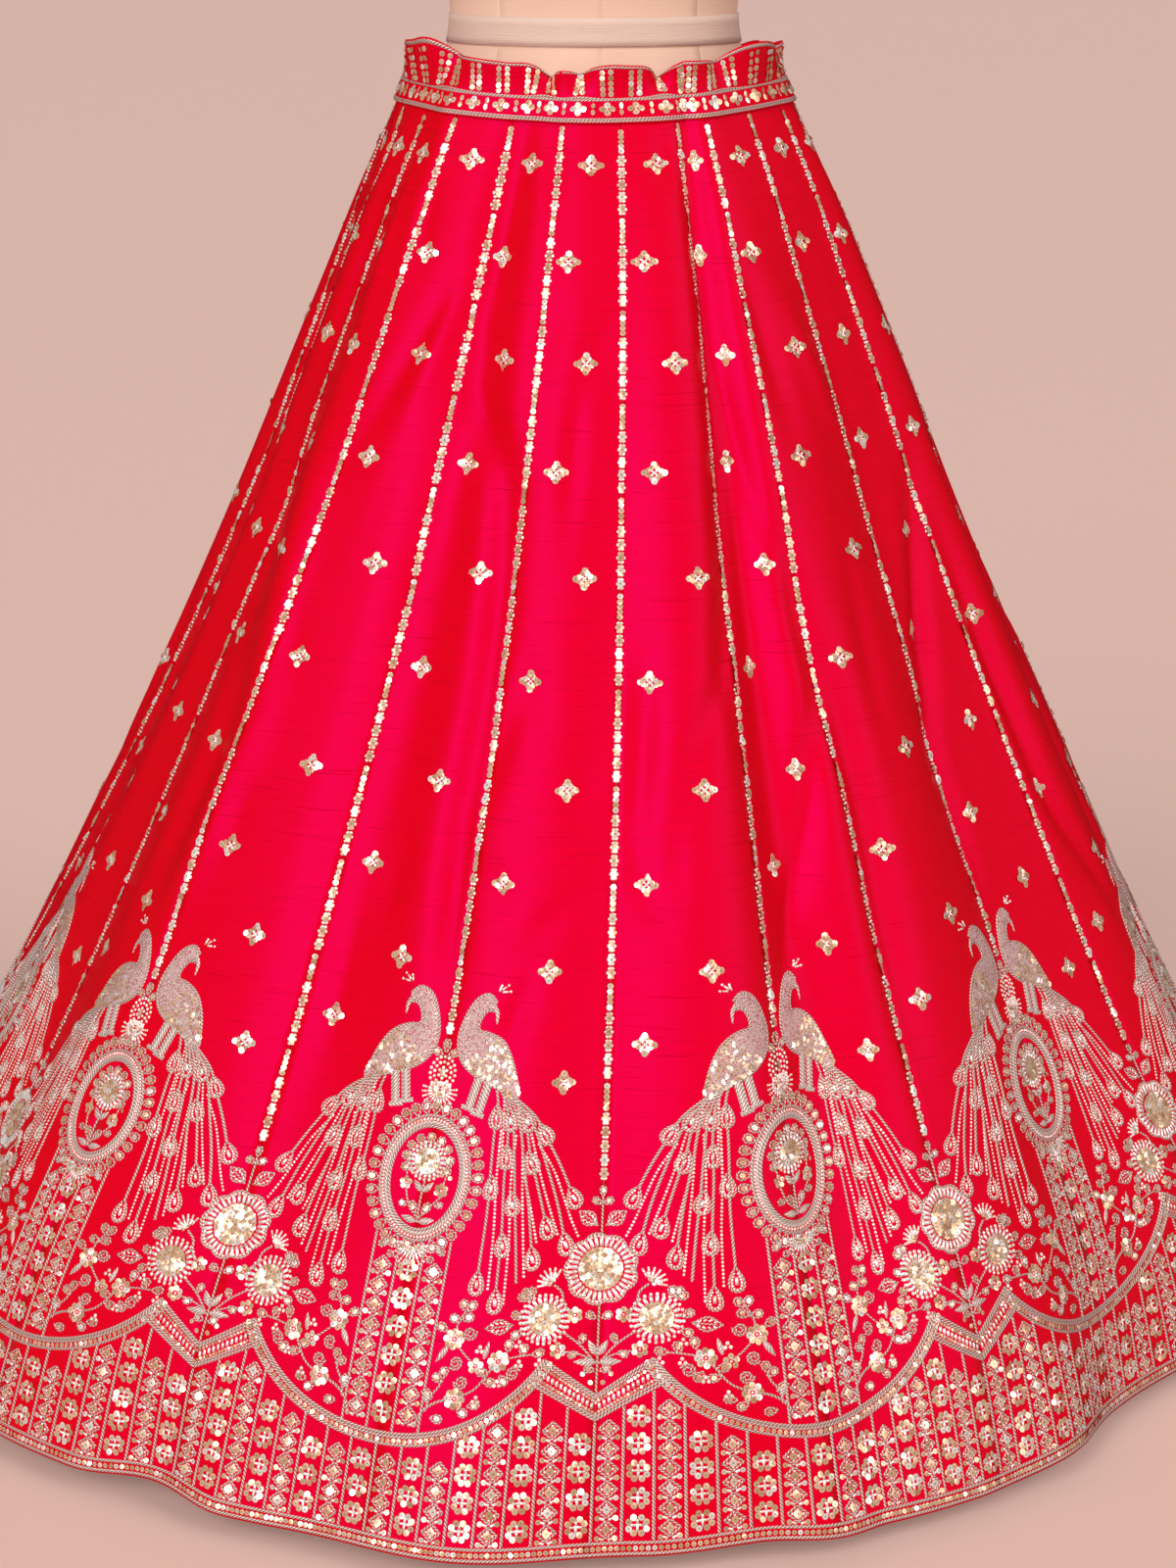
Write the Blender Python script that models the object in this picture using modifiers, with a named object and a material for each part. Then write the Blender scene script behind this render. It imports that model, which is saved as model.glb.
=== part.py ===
"""A panelled lehenga skirt on a limbless dress form. Metres, +Z up, the front looks along -Y.

The skirt is 24 flared panels, a gathered waistband, a braid along the hem and a strip of lining
behind it. It hangs from the waist of a dress form, which stands on a pole and a round base.
Azimuths are degrees round the Z axis from the front, positive towards +X. A place on the cloth is
(seam, rise): seam counts the panel seams from the front centre seam, and rise is the distance up
the cloth from the hem.
"""

import math

import bmesh
import bpy
import numpy as np

# Skirt sizes
PANELS = 24
WALL = 0.002
GAP = 0.0003
HEM_CLEARANCE = 0.016
PANEL_TOP = 0.957
PANEL_COLUMNS = 4
LINING_WALL = 0.001
LINING_EDGE = 0.004
LINING_DEPTH_ROW = 5
STEP = 0.0005

# Where the rows of a panel lie, as a share of its length up from the hem
PANEL_ROWS = (0.0, 0.0103, 0.05, 0.11, 0.19, 0.28, 0.38, 0.5, 0.62, 0.74, 0.85, 0.93, 0.987, 1.0)

# Half width and half depth of the skirt at each height above its hem
SKIRT_PROFILE = (
    # height, half_width, half_depth
    (0.000, 0.608, 0.607),
    (0.100, 0.572, 0.570),
    (0.230, 0.500, 0.497),
    (0.400, 0.412, 0.407),
    (0.600, 0.314, 0.303),
    (0.800, 0.225, 0.205),
    (0.900, 0.180, 0.148),
    (0.945, 0.157, 0.121),
    (0.970, 0.146, 0.108),
    (1.000, 0.137, 0.100),
)

# Where the seams of the front lie. Those behind are spread evenly between the first and last row
FRONT_SEAMS = (
    # seam, azimuth at the waist, half way down, at the hem
    (-5, -71.8, -72.7, -78.6),
    (-4, -55.9, -58.3, -62.3),
    (-3, -41.0, -43.9, -47.0),
    (-2, -23.9, -27.4, -29.8),
    (-1, -8.5, -11.4, -14.6),
    (0, 7.5, 3.3, 0.5),
    (1, 24.0, 18.6, 17.6),
    (2, 32.2, 31.0, 31.0),
    (3, 50.6, 50.0, 46.0),
    (4, 69.1, 63.2, 63.9),
    (5, 83.8, 76.8, 80.6),
)
HALF_WAY = 0.47

# Soft flutes that run from waist to hem. A positive push stands out, a negative one falls in
FLUTES = (
    # seam, reach in panels, push at the waist, half way down, at the hem
    (-5.6, 1.1, 0.000, -0.030, 0.000),
    (-4.3, 1.0, -0.002, -0.010, -0.021),
    (-3.1, 0.9, 0.002, 0.011, 0.006),
    (-1.75, 0.6, -0.003, -0.017, 0.001),
    (-0.6, 0.8, 0.002, 0.005, 0.013),
    (0.6, 0.8, 0.001, 0.013, 0.004),
    (1.35, 0.6, -0.003, -0.023, -0.005),
    (2.0, 0.7, 0.003, -0.003, -0.010),
    (3.2, 1.4, -0.003, -0.024, -0.047),
    (4.7, 1.0, 0.002, 0.006, -0.012),
    (6.0, 1.0, -0.002, -0.012, -0.020),
    (7.3, 1.0, 0.002, 0.020, 0.006),
    (8.7, 1.2, -0.003, -0.014, -0.034),
    (10.1, 1.0, 0.002, 0.011, 0.012),
    (11.4, 1.1, -0.003, -0.014, -0.026),
    (12.8, 1.0, 0.002, 0.012, 0.016),
    (14.2, 1.2, -0.002, -0.015, -0.036),
    (15.6, 1.0, 0.002, 0.010, 0.012),
    (17.0, 1.1, -0.002, -0.013, -0.024),
)
PANEL_BELLY = 0.0022
SIDE_RISE = 0.0105
HEM_SWAY = -0.009

# Small kinks of the free hem edge, which fade out over HEM_KINK_FADE
HEM_KINKS = (
    # seam, reach in panels, push, lift
    (-4.6, 0.5, 0.006, 0.004),
    (-2.1, 0.4, -0.010, 0.006),
    (-0.5, 0.7, 0.004, 0.000),
    (0.7, 0.5, -0.005, 0.003),
    (0.95, 0.3, 0.007, 0.000),
    (2.5, 0.5, 0.008, 0.004),
    (4.1, 0.5, -0.006, 0.005),
    (6.6, 0.6, 0.007, 0.003),
    (9.3, 0.5, -0.007, 0.005),
    (12.1, 0.5, 0.007, 0.003),
    (14.9, 0.5, -0.006, 0.005),
    (17.6, 0.6, 0.006, 0.004),
)
HEM_KINK_FADE = 0.070

# Waistband: a strip with a gathered heading that stands in ruffles above its drawstring line.
# Its foot laps over the panels' tops, whose 13th row is there
BAND_FOOT_SHARE = PANEL_ROWS[-2]
BAND_HEIGHT = 0.046
BAND_LINE = 0.42
BAND_ROWS = (0.0, 0.305, 0.46, 0.74, 1.0)
BAND_OUT = WALL + 2 * GAP
BAND_ENDS_AT = -5.0
BAND_ENDS_GAP = 0.02
BAND_COLUMNS_PER_PANEL = 8
SEAT_CLEARANCE = 0.0007

# The crests and dips of the ruffled heading, read round the waist
RUFFLES = (
    # azimuth, push, lift
    (-92.0, -0.004, -0.004),
    (-80.0, 0.006, 0.004),
    (-66.0, 0.013, 0.009),
    (-55.0, 0.011, 0.012),
    (-48.0, -0.004, 0.002),
    (-41.0, 0.004, 0.002),
    (-27.0, 0.007, 0.001),
    (-19.0, 0.003, -0.001),
    (-14.5, -0.008, -0.012),
    (-9.0, 0.006, -0.003),
    (-4.0, -0.004, -0.007),
    (1.0, 0.005, 0.000),
    (10.0, 0.007, 0.001),
    (16.0, 0.003, -0.002),
    (20.5, -0.009, -0.014),
    (25.0, 0.007, -0.001),
    (33.0, 0.006, 0.001),
    (41.5, -0.001, -0.002),
    (50.0, 0.008, 0.007),
    (60.0, 0.012, 0.009),
    (70.0, 0.007, 0.004),
    (80.0, -0.006, -0.003),
    (94.0, 0.008, 0.003),
    (108.0, -0.008, -0.006),
    (121.0, 0.008, 0.003),
    (133.0, -0.007, -0.008),
    (147.0, 0.009, 0.002),
    (160.0, -0.008, -0.009),
    (173.0, 0.008, 0.002),
    (187.0, -0.007, -0.007),
    (200.0, 0.009, 0.003),
    (213.0, -0.008, -0.008),
    (227.0, 0.008, 0.002),
    (240.0, -0.007, -0.006),
    (254.0, 0.008, 0.003),
)

# Dress form: a plain torso. Its fronts and backs have depths of their own
FORM_SECTIONS = (
    # height, half_width, front_depth, back_depth
    (0.790, 0.146, 0.100, 0.110),
    (0.800, 0.156, 0.109, 0.120),
    (0.850, 0.162, 0.114, 0.127),
    (0.905, 0.158, 0.111, 0.121),
    (0.955, 0.140, 0.104, 0.107),
    (1.000, 0.121, 0.096, 0.091),
    (1.030, 0.114, 0.092, 0.084),
    (1.075, 0.118, 0.099, 0.086),
    (1.150, 0.134, 0.121, 0.097),
    (1.215, 0.146, 0.134, 0.103),
    (1.280, 0.155, 0.118, 0.103),
    (1.335, 0.164, 0.096, 0.097),
    (1.375, 0.153, 0.080, 0.084),
    (1.400, 0.115, 0.069, 0.073),
    (1.418, 0.072, 0.060, 0.061),
    (1.440, 0.057, 0.055, 0.055),
    (1.475, 0.054, 0.053, 0.053),
)
FORM_SIDES = 40
FORM_LEVELS = 26
ARM_PLANE = 0.153
ARM_PLANE_FOOT = 1.2
TAPE_HEIGHT = 0.022
TAPE_MIDDLE = 1.028
TAPE_WALL = 0.001
TAPE_END = 0.2
NECK_CAP_RADIUS = 0.057
NECK_CAP_HEIGHT = 0.022
POLE_RADIUS = 0.016
SOCKET_RADIUS = 0.045
SOCKET_HEIGHT = 0.018
BASE_RADIUS = 0.200
BASE_HEIGHT = 0.014
BASE_BOSS_RADIUS = 0.034
BASE_BOSS_HEIGHT = 0.040
BASE_EDGE = 0.004

# name, base colour, roughness, metallic
SILK = ("crimson_silk", (0.80, 0.005, 0.055), 0.42, 0.0)
ZARI = ("zari_braid", (0.78, 0.60, 0.50), 0.35, 0.9)
LINING = ("lilac_lining", (0.42, 0.36, 0.42), 0.60, 0.0)
CANVAS = ("form_canvas", (0.80, 0.60, 0.47), 0.85, 0.0)
RIBBON = ("form_ribbon", (0.66, 0.52, 0.43), 0.70, 0.0)
WOOD = ("turned_wood", (0.42, 0.24, 0.12), 0.45, 0.0)
STEEL = ("brushed_steel", (0.62, 0.62, 0.63), 0.30, 1.0)
IRON = ("painted_iron", (0.05, 0.05, 0.055), 0.50, 0.4)


def smooth_between(x, rows_x, rows_y):
    """A smooth curve through the rows' points, read at x."""
    rows_x = np.asarray(rows_x, float)
    rows_y = np.asarray(rows_y, float)
    slopes = np.gradient(rows_y, rows_x)
    x = np.clip(x, rows_x[0], rows_x[-1])
    i = np.clip(np.searchsorted(rows_x, x) - 1, 0, len(rows_x) - 2)
    step = rows_x[i + 1] - rows_x[i]
    t = (x - rows_x[i]) / step
    start = (1 + 2 * t) * (1 - t) ** 2 * rows_y[i] + t * (1 - t) ** 2 * step * slopes[i]
    end = t * t * (3 - 2 * t) * rows_y[i + 1] - t * t * (1 - t) * step * slopes[i + 1]
    return start + end


def round_and_round(x, rows_x, rows_y, turn):
    """smooth_between on rows that repeat after one turn."""
    rows_x = np.concatenate([[rows_x[-1] - turn], rows_x, [rows_x[0] + turn]])
    rows_y = np.concatenate([[rows_y[-1]], rows_y, [rows_y[0]]])
    return smooth_between((x - rows_x[0]) % turn + rows_x[0], rows_x, rows_y)


def columns_of(table):
    return np.array(table, float).T


def cloth_measure():
    """The skirt's profile as a fine list: rise up the cloth, height, half width, half depth."""
    heights, widths, depths = columns_of(SKIRT_PROFILE)
    height = np.linspace(heights[0], heights[-1], 600)
    width = smooth_between(height, heights, widths)
    depth = smooth_between(height, heights, depths)
    middle = (width + depth) / 2
    rise = np.concatenate([[0], np.cumsum(np.hypot(np.diff(height), np.diff(middle)))])
    return rise, height, width, depth


RISE, HEIGHT, HALF_WIDTH, HALF_DEPTH = cloth_measure()
PANEL_LENGTH = float(np.interp(PANEL_TOP, HEIGHT, RISE))


def level_weights(rise):
    """How much a place takes from the waist, half way and hem columns of a table."""
    down = 1 - np.clip(rise / PANEL_LENGTH, 0, 1)
    waist = (down - HALF_WAY) * (down - 1) / HALF_WAY
    middle = down * (down - 1) / (HALF_WAY * (HALF_WAY - 1))
    hem = down * (down - HALF_WAY) / (1 - HALF_WAY)
    return waist, middle, hem


def seam_azimuth(seam, rise):
    """Azimuth in degrees of a place on the cloth."""
    rows = columns_of(FRONT_SEAMS)
    first = rows[0][0]
    turns = np.floor((seam - first) / PANELS)
    within = seam - turns * PANELS
    seams = np.concatenate([rows[0] - PANELS, rows[0], rows[0] + PANELS])
    azimuth = turns * 360
    for weight, row in zip(level_weights(rise), rows[1:]):
        around = np.concatenate([row - 360, row, row + 360])
        azimuth = azimuth + weight * smooth_between(within, seams, around)
    return azimuth


def hump(seam, middle, reach):
    """1 at the middle, easing to 0 at the reach on both sides, round the skirt."""
    off = (seam - middle + PANELS / 2) % PANELS - PANELS / 2
    return np.cos(np.clip(off / reach, -1, 1) * math.pi / 2) ** 2


def flute_push(seam, rise):
    waist, middle, hem = level_weights(rise)
    push = 0
    for at, reach, at_waist, half_way, at_hem in FLUTES:
        depth = waist * at_waist + middle * half_way + hem * at_hem
        push = push + depth * hump(seam, at, reach)
    low = np.clip(1 - rise / PANEL_LENGTH, 0, 1)
    belly = PANEL_BELLY * np.sin(math.pi * seam) ** 2 * np.sin(math.pi * low)
    return push + belly


def hem_kink(seam, rise):
    fade = np.exp(-((rise / HEM_KINK_FADE) ** 2))
    push, lift = 0, 0
    for at, reach, out, up in HEM_KINKS:
        wave = hump(seam, at, reach) * fade
        push, lift = push + out * wave, lift + up * wave
    return push, lift


def cloth_place(seam, rise):
    """Where a place on the cloth's middle surface is: azimuth, half width, half depth, height."""
    around = np.radians(seam_azimuth(seam, rise))
    kink_push, kink_lift = hem_kink(seam, rise)
    push = flute_push(seam, rise) + kink_push
    width = np.interp(rise, RISE, HALF_WIDTH) + push
    depth = np.interp(rise, RISE, HALF_DEPTH) + push
    side = 1 + SIDE_RISE * np.sin(around) ** 2
    height = HEM_CLEARANCE + np.interp(rise, RISE, HEIGHT) * side + kink_lift
    return around, width, depth, height


def point_at(around, width, depth, height, sway=0.0):
    return sway + width * np.sin(around), -depth * np.cos(around), height


def skirt_point(seam, rise):
    """The middle of the cloth's wall. The hem hangs a little to one side of the waist."""
    sway = HEM_SWAY * (1 - np.clip(rise / PANEL_LENGTH, 0, 1))
    return point_at(*cloth_place(seam, rise), sway)


def form_half_sizes(height, around):
    """Half width and half depth of the form at a height, for a direction from its axis."""
    heights, widths, fronts, backs = columns_of(FORM_SECTIONS)
    width, front, back = (smooth_between(height, heights, row) for row in (widths, fronts, backs))
    return width, np.where(np.cos(around) > 0, front, back)


def form_point(azimuth, height):
    """A point of the form's skin."""
    around = np.radians(azimuth)
    return point_at(around, *form_half_sizes(height, around), height)


def band_point(seam, share):
    """A place on the waistband. Share is 0 at its foot and 1 at its ruffled top.

    It carries on the panels' surface and ruffles above its drawstring line.
    """
    rise = BAND_FOOT_SHARE * PANEL_LENGTH + share * BAND_HEIGHT
    around, width, depth, height = cloth_place(seam, rise)
    at, pushes, lifts = columns_of(RUFFLES)
    azimuth = np.degrees(around)
    heading = np.clip((share - BAND_LINE) / (1 - BAND_LINE), 0, 1)
    push = round_and_round(azimuth, at, pushes, 360) * heading
    height = height + round_and_round(azimuth, at, lifts, 360) * heading**2
    sway = HEM_SWAY * (1 - np.clip(rise / PANEL_LENGTH, 0, 1))
    return point_at(around, width + push, depth + push, height, sway)


def clear_of_form(points, off):
    """Wall points moved out where they would enter the form. Off is counted from its inner face."""
    x, y, height = points.T
    width, depth = form_half_sizes(height, np.arctan2(x, -y))
    least = SEAT_CLEARANCE + off
    grow = np.maximum(1, 1 / np.hypot(x / (width + least), y / (depth + least)))
    return np.stack([x * grow, y * grow, height], axis=1)


def make_material(finish):
    name, colour, roughness, metallic = finish
    material = bpy.data.materials.get(name)
    if material is None:
        material = bpy.data.materials.new(name)
        material.use_nodes = True
        shader = material.node_tree.nodes["Principled BSDF"]
        shader.inputs["Base Color"].default_value = (*colour, 1)
        shader.inputs["Roughness"].default_value = roughness
        shader.inputs["Metallic"].default_value = metallic
        material.diffuse_color = (*colour, 1)
    return material


def add_object(name, build, finish, collection):
    """An object from a bmesh."""
    mesh = bpy.data.meshes.new(name)
    build.to_mesh(mesh)
    build.free()
    thing = bpy.data.objects.new(name, mesh)
    collection.objects.link(thing)
    mesh.materials.append(make_material(finish))
    mesh.shade_smooth()
    return thing


def bent_sheet(name, columns, rows, surface, finish, collection, wall=WALL, out=0.0, fit=None):
    """A closed wall laid along surface(across, up), both from 0 to 1.

    Out is how far the middle of the wall stands off that surface, and fit moves the wall's points.
    """
    build = bmesh.new()
    bmesh.ops.create_grid(build, x_segments=columns, y_segments=rows, size=0.5)
    place = build.verts.layers.float_vector.new("place")
    for corner in build.verts:
        corner[place] = (corner.co.x + 0.5, corner.co.y + 0.5, out - wall / 2)
    doubled = bmesh.ops.extrude_face_region(build, geom=build.faces[:])
    for corner in doubled["geom"]:
        if isinstance(corner, bmesh.types.BMVert):
            corner[place].z = out + wall / 2
    across, up, off = np.array([corner[place] for corner in build.verts]).T
    points = np.stack(surface(across, up), axis=1)
    sideways = difference(surface, (across - STEP, up), (across + STEP, up))
    lower, higher = np.maximum(up - STEP, 0), np.minimum(up + STEP, 1)
    upwards = difference(surface, (across, lower), (across, higher))
    normals = np.cross(sideways, upwards)
    normals /= np.linalg.norm(normals, axis=1)[:, None]
    points = points + normals * off[:, None]
    if fit:
        points = fit(points, off - out + wall / 2)
    for corner, point in zip(build.verts, points):
        corner.co = point
    bmesh.ops.recalc_face_normals(build, faces=build.faces[:])
    return add_object(name, build, finish, collection)


def difference(surface, start, end):
    return np.stack(surface(*end), axis=1) - np.stack(surface(*start), axis=1)


def make_panel(number, collection):
    """One flared panel, from its seam to the next, with half the seam gap left on each side."""

    def surface(across, up):
        rise = PANEL_LENGTH * np.interp(up, np.linspace(0, 1, len(PANEL_ROWS)), PANEL_ROWS)
        panel_width = 2 * math.pi * np.interp(rise, RISE, HALF_WIDTH) / PANELS
        edge = GAP / 2 / panel_width
        return skirt_point(number + edge + across * (1 - 2 * edge), rise)

    name = f"panel_{number + 1:02d}"
    rows = len(PANEL_ROWS) - 1
    return bent_sheet(name, PANEL_COLUMNS, rows, surface, SILK, collection)


def all_round(across, rise):
    """A strip round the whole skirt. Its ends nearly meet at the centre back seam."""
    panel_width = 2 * math.pi * HALF_WIDTH[0] / PANELS
    ends = GAP / panel_width
    return skirt_point(-PANELS / 2 + ends + across * (PANELS - 2 * ends), rise)


def make_hem_braid(collection):
    """The stitched braid on the lowest edge of the panels, made from their points."""

    def surface(across, up):
        return all_round(across, up * PANEL_ROWS[1] * PANEL_LENGTH)

    columns = PANELS * PANEL_COLUMNS
    out = (WALL + WALL) / 2 + GAP
    return bent_sheet("hem_braid", columns, 1, surface, ZARI, collection, out=out)


def make_hem_lining(collection):
    """The lining behind the hem, made from the panels' points and a little short of their edge."""
    rises = np.array(PANEL_ROWS[: LINING_DEPTH_ROW + 1]) * PANEL_LENGTH
    rises[0] = LINING_EDGE

    def surface(across, up):
        return all_round(across, np.interp(up, np.linspace(0, 1, len(rises)), rises))

    columns = PANELS * PANEL_COLUMNS
    return bent_sheet(
        "hem_lining",
        columns,
        LINING_DEPTH_ROW,
        surface,
        LINING,
        collection,
        wall=LINING_WALL,
        out=-(WALL + LINING_WALL) / 2 - GAP,
    )


def make_waistband(collection):
    """The gathered band. It is a strip whose two ends nearly meet at the wearer's right side."""

    def surface(across, up):
        seam = BAND_ENDS_AT + BAND_ENDS_GAP + across * (PANELS - 2 * BAND_ENDS_GAP)
        share = np.interp(up, np.linspace(0, 1, len(BAND_ROWS)), BAND_ROWS)
        return band_point(seam, share)

    columns = PANELS * BAND_COLUMNS_PER_PANEL
    rows = len(BAND_ROWS) - 1
    return bent_sheet(
        "waistband", columns, rows, surface, SILK, collection, out=BAND_OUT, fit=clear_of_form
    )


def closed_loft(name, rings, finish, collection):
    """A solid through rings of points, from the lowest up, with flat ends."""
    build = bmesh.new()
    levels = [[build.verts.new(point) for point in ring] for ring in rings]
    for below, above in zip(levels, levels[1:]):
        for i in range(len(below)):
            j = (i + 1) % len(below)
            build.faces.new((below[i], below[j], above[j], above[i]))
    build.faces.new(levels[0][::-1])
    build.faces.new(levels[-1])
    return add_object(name, build, finish, collection)


def form_ring(height):
    azimuths = np.linspace(0, 360, FORM_SIDES, endpoint=False)
    x, y, _ = form_point(azimuths, height)
    return [(x[i], y[i], height) for i in range(FORM_SIDES)]


def make_torso(collection):
    """The form's body. Its shoulders end in flat arm planes."""
    low, high = FORM_SECTIONS[0][0], FORM_SECTIONS[-1][0]
    levels = np.linspace(low, high, FORM_LEVELS)
    off_tape = levels[abs(levels - TAPE_MIDDLE) > TAPE_HEIGHT]
    tape_edges = (TAPE_MIDDLE - TAPE_HEIGHT / 2, TAPE_MIDDLE + TAPE_HEIGHT / 2)
    rings = []
    for height in sorted([*off_tape, *tape_edges]):
        widest = ARM_PLANE if height > ARM_PLANE_FOOT else math.inf
        ring = form_ring(height)
        rings.append([(min(max(x, -widest), widest), y, z) for x, y, z in ring])
    return closed_loft("form_torso", rings, CANVAS, collection)


def make_waist_tape(collection):
    """The woven tape round the form's waist. Its ends meet at the centre back."""

    def surface(across, up):
        azimuth = 180 + TAPE_END + across * (360 - 2 * TAPE_END)
        return form_point(azimuth, TAPE_MIDDLE + (up - 0.5) * TAPE_HEIGHT)

    out = TAPE_WALL / 2 + GAP
    return bent_sheet(
        "form_waist_tape", FORM_SIDES, 1, surface, RIBBON, collection, TAPE_WALL, out
    )


def turned(name, outline, finish, collection, steps=32):
    """A solid of revolution. The outline runs down its outer side as (radius, height)."""
    build = bmesh.new()
    corners = [build.verts.new((radius, 0, height)) for radius, height in outline]
    for above, below in zip(corners, corners[1:]):
        build.edges.new((above, below))
    thing = add_object(name, build, finish, collection)
    spin = thing.modifiers.new("turned", "SCREW")
    spin.steps = steps
    spin.render_steps = steps
    spin.use_merge_vertices = True
    spin.merge_threshold = 0.0001
    return thing


def make_stand(collection):
    """Neck cap, socket, pole and base, each seated with the same small gap."""
    neck = FORM_SECTIONS[-1][0] + GAP
    cap_top = neck + NECK_CAP_HEIGHT
    turned(
        "neck_cap",
        (
            (0, cap_top),
            (NECK_CAP_RADIUS * 0.55, cap_top - 0.001),
            (NECK_CAP_RADIUS * 0.85, cap_top - 0.005),
            (NECK_CAP_RADIUS, cap_top - 0.012),
            (NECK_CAP_RADIUS, neck + 0.004),
            (NECK_CAP_RADIUS - 0.003, neck),
            (0, neck),
        ),
        WOOD,
        collection,
    )
    socket_top = FORM_SECTIONS[0][0] - GAP
    socket_foot = socket_top - SOCKET_HEIGHT
    turned(
        "pole_socket",
        (
            (0, socket_top),
            (SOCKET_RADIUS, socket_top),
            (SOCKET_RADIUS, socket_top - 0.006),
            (SOCKET_RADIUS * 0.6, socket_foot),
            (0, socket_foot),
        ),
        WOOD,
        collection,
    )
    pole_top = socket_foot - GAP
    pole_foot = BASE_BOSS_HEIGHT + GAP
    turned(
        "stand_pole",
        ((0, pole_top), (POLE_RADIUS, pole_top), (POLE_RADIUS, pole_foot), (0, pole_foot)),
        STEEL,
        collection,
        steps=24,
    )
    turned(
        "stand_base",
        (
            (0, BASE_BOSS_HEIGHT),
            (BASE_BOSS_RADIUS * 0.8, BASE_BOSS_HEIGHT),
            (BASE_BOSS_RADIUS, BASE_BOSS_HEIGHT - BASE_EDGE),
            (BASE_BOSS_RADIUS + 0.010, BASE_HEIGHT + 0.006),
            (BASE_BOSS_RADIUS + 0.030, BASE_HEIGHT),
            (BASE_RADIUS - BASE_EDGE, BASE_HEIGHT - 0.004),
            (BASE_RADIUS, BASE_HEIGHT - 0.004 - BASE_EDGE),
            (BASE_RADIUS, 0),
            (0, 0),
        ),
        IRON,
        collection,
        steps=48,
    )


def main():
    for thing in list(bpy.data.objects):
        bpy.data.objects.remove(thing)
    collection = bpy.data.collections.new("lehenga_skirt_on_form")
    bpy.context.scene.collection.children.link(collection)
    for number in range(PANELS):
        make_panel(number, collection)
    make_waistband(collection)
    make_hem_braid(collection)
    make_hem_lining(collection)
    make_torso(collection)
    make_waist_tape(collection)
    make_stand(collection)


main()
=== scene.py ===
"""The looks of a panelled, embroidered lehenga skirt on a limbless dress form.

Metres, +Z up, the front looks along -Y. A place on the cloth is (seam, rise): seam counts the
panel seams from the front centre seam, and rise is the distance up the cloth from the hem.
"""

import math

import bpy
import numpy as np
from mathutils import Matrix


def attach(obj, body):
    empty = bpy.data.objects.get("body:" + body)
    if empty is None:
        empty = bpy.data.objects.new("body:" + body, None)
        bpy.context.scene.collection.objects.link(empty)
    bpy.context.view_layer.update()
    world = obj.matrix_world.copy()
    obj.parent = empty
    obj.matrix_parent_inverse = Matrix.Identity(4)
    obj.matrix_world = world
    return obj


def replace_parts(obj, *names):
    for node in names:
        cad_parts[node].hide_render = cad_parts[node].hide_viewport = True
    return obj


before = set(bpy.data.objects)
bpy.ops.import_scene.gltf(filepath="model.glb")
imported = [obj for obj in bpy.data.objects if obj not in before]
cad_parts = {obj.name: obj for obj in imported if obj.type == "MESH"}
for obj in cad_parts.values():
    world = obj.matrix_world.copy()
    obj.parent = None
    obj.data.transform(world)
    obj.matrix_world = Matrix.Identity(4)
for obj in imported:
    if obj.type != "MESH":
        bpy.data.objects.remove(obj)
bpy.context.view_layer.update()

bl_info = {
    "name": "Embroidered Lehenga Skirt",
    "version": (1, 0, 0),
    "blender": (4, 5, 0),
    "location": "3D View > Sidebar > Lehenga",
    "description": "Dresses a panelled lehenga skirt in silk and couched metal thread embroidery",
    "category": "Object",
}

# The cut of the skirt, as in the solids
PANELS = 24
WALL = 0.002
GAP = 0.0003
HEM_CLEARANCE = 0.016
PANEL_TOP = 0.957
STEP = 0.0005
SKIRT_PROFILE = (
    # height, half_width, half_depth
    (0.000, 0.608, 0.607),
    (0.100, 0.572, 0.570),
    (0.230, 0.500, 0.497),
    (0.400, 0.412, 0.407),
    (0.600, 0.314, 0.303),
    (0.800, 0.225, 0.205),
    (0.900, 0.180, 0.148),
    (0.945, 0.157, 0.121),
    (0.970, 0.146, 0.108),
    (1.000, 0.137, 0.100),
)
FRONT_SEAMS = (
    # seam, azimuth at the waist, half way down, at the hem
    (-5, -71.8, -72.7, -78.6),
    (-4, -55.9, -58.3, -62.3),
    (-3, -41.0, -43.9, -47.0),
    (-2, -23.9, -27.4, -29.8),
    (-1, -8.5, -11.4, -14.6),
    (0, 7.5, 3.3, 0.5),
    (1, 24.0, 18.6, 17.6),
    (2, 32.2, 31.0, 31.0),
    (3, 50.6, 50.0, 46.0),
    (4, 69.1, 63.2, 63.9),
    (5, 83.8, 76.8, 80.6),
)
HALF_WAY = 0.47
FLUTES = (
    # seam, reach in panels, push at the waist, half way down, at the hem
    (-5.6, 1.1, 0.000, -0.030, 0.000),
    (-4.3, 1.0, -0.002, -0.010, -0.021),
    (-3.1, 0.9, 0.002, 0.011, 0.006),
    (-1.75, 0.6, -0.003, -0.017, 0.001),
    (-0.6, 0.8, 0.002, 0.005, 0.013),
    (0.6, 0.8, 0.001, 0.013, 0.004),
    (1.35, 0.6, -0.003, -0.023, -0.005),
    (2.0, 0.7, 0.003, -0.003, -0.010),
    (3.2, 1.4, -0.003, -0.024, -0.047),
    (4.7, 1.0, 0.002, 0.006, -0.012),
    (6.0, 1.0, -0.002, -0.012, -0.020),
    (7.3, 1.0, 0.002, 0.020, 0.006),
    (8.7, 1.2, -0.003, -0.014, -0.034),
    (10.1, 1.0, 0.002, 0.011, 0.012),
    (11.4, 1.1, -0.003, -0.014, -0.026),
    (12.8, 1.0, 0.002, 0.012, 0.016),
    (14.2, 1.2, -0.002, -0.015, -0.036),
    (15.6, 1.0, 0.002, 0.010, 0.012),
    (17.0, 1.1, -0.002, -0.013, -0.024),
)
PANEL_BELLY = 0.0022
SIDE_RISE = 0.0105
HEM_SWAY = -0.009
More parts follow.
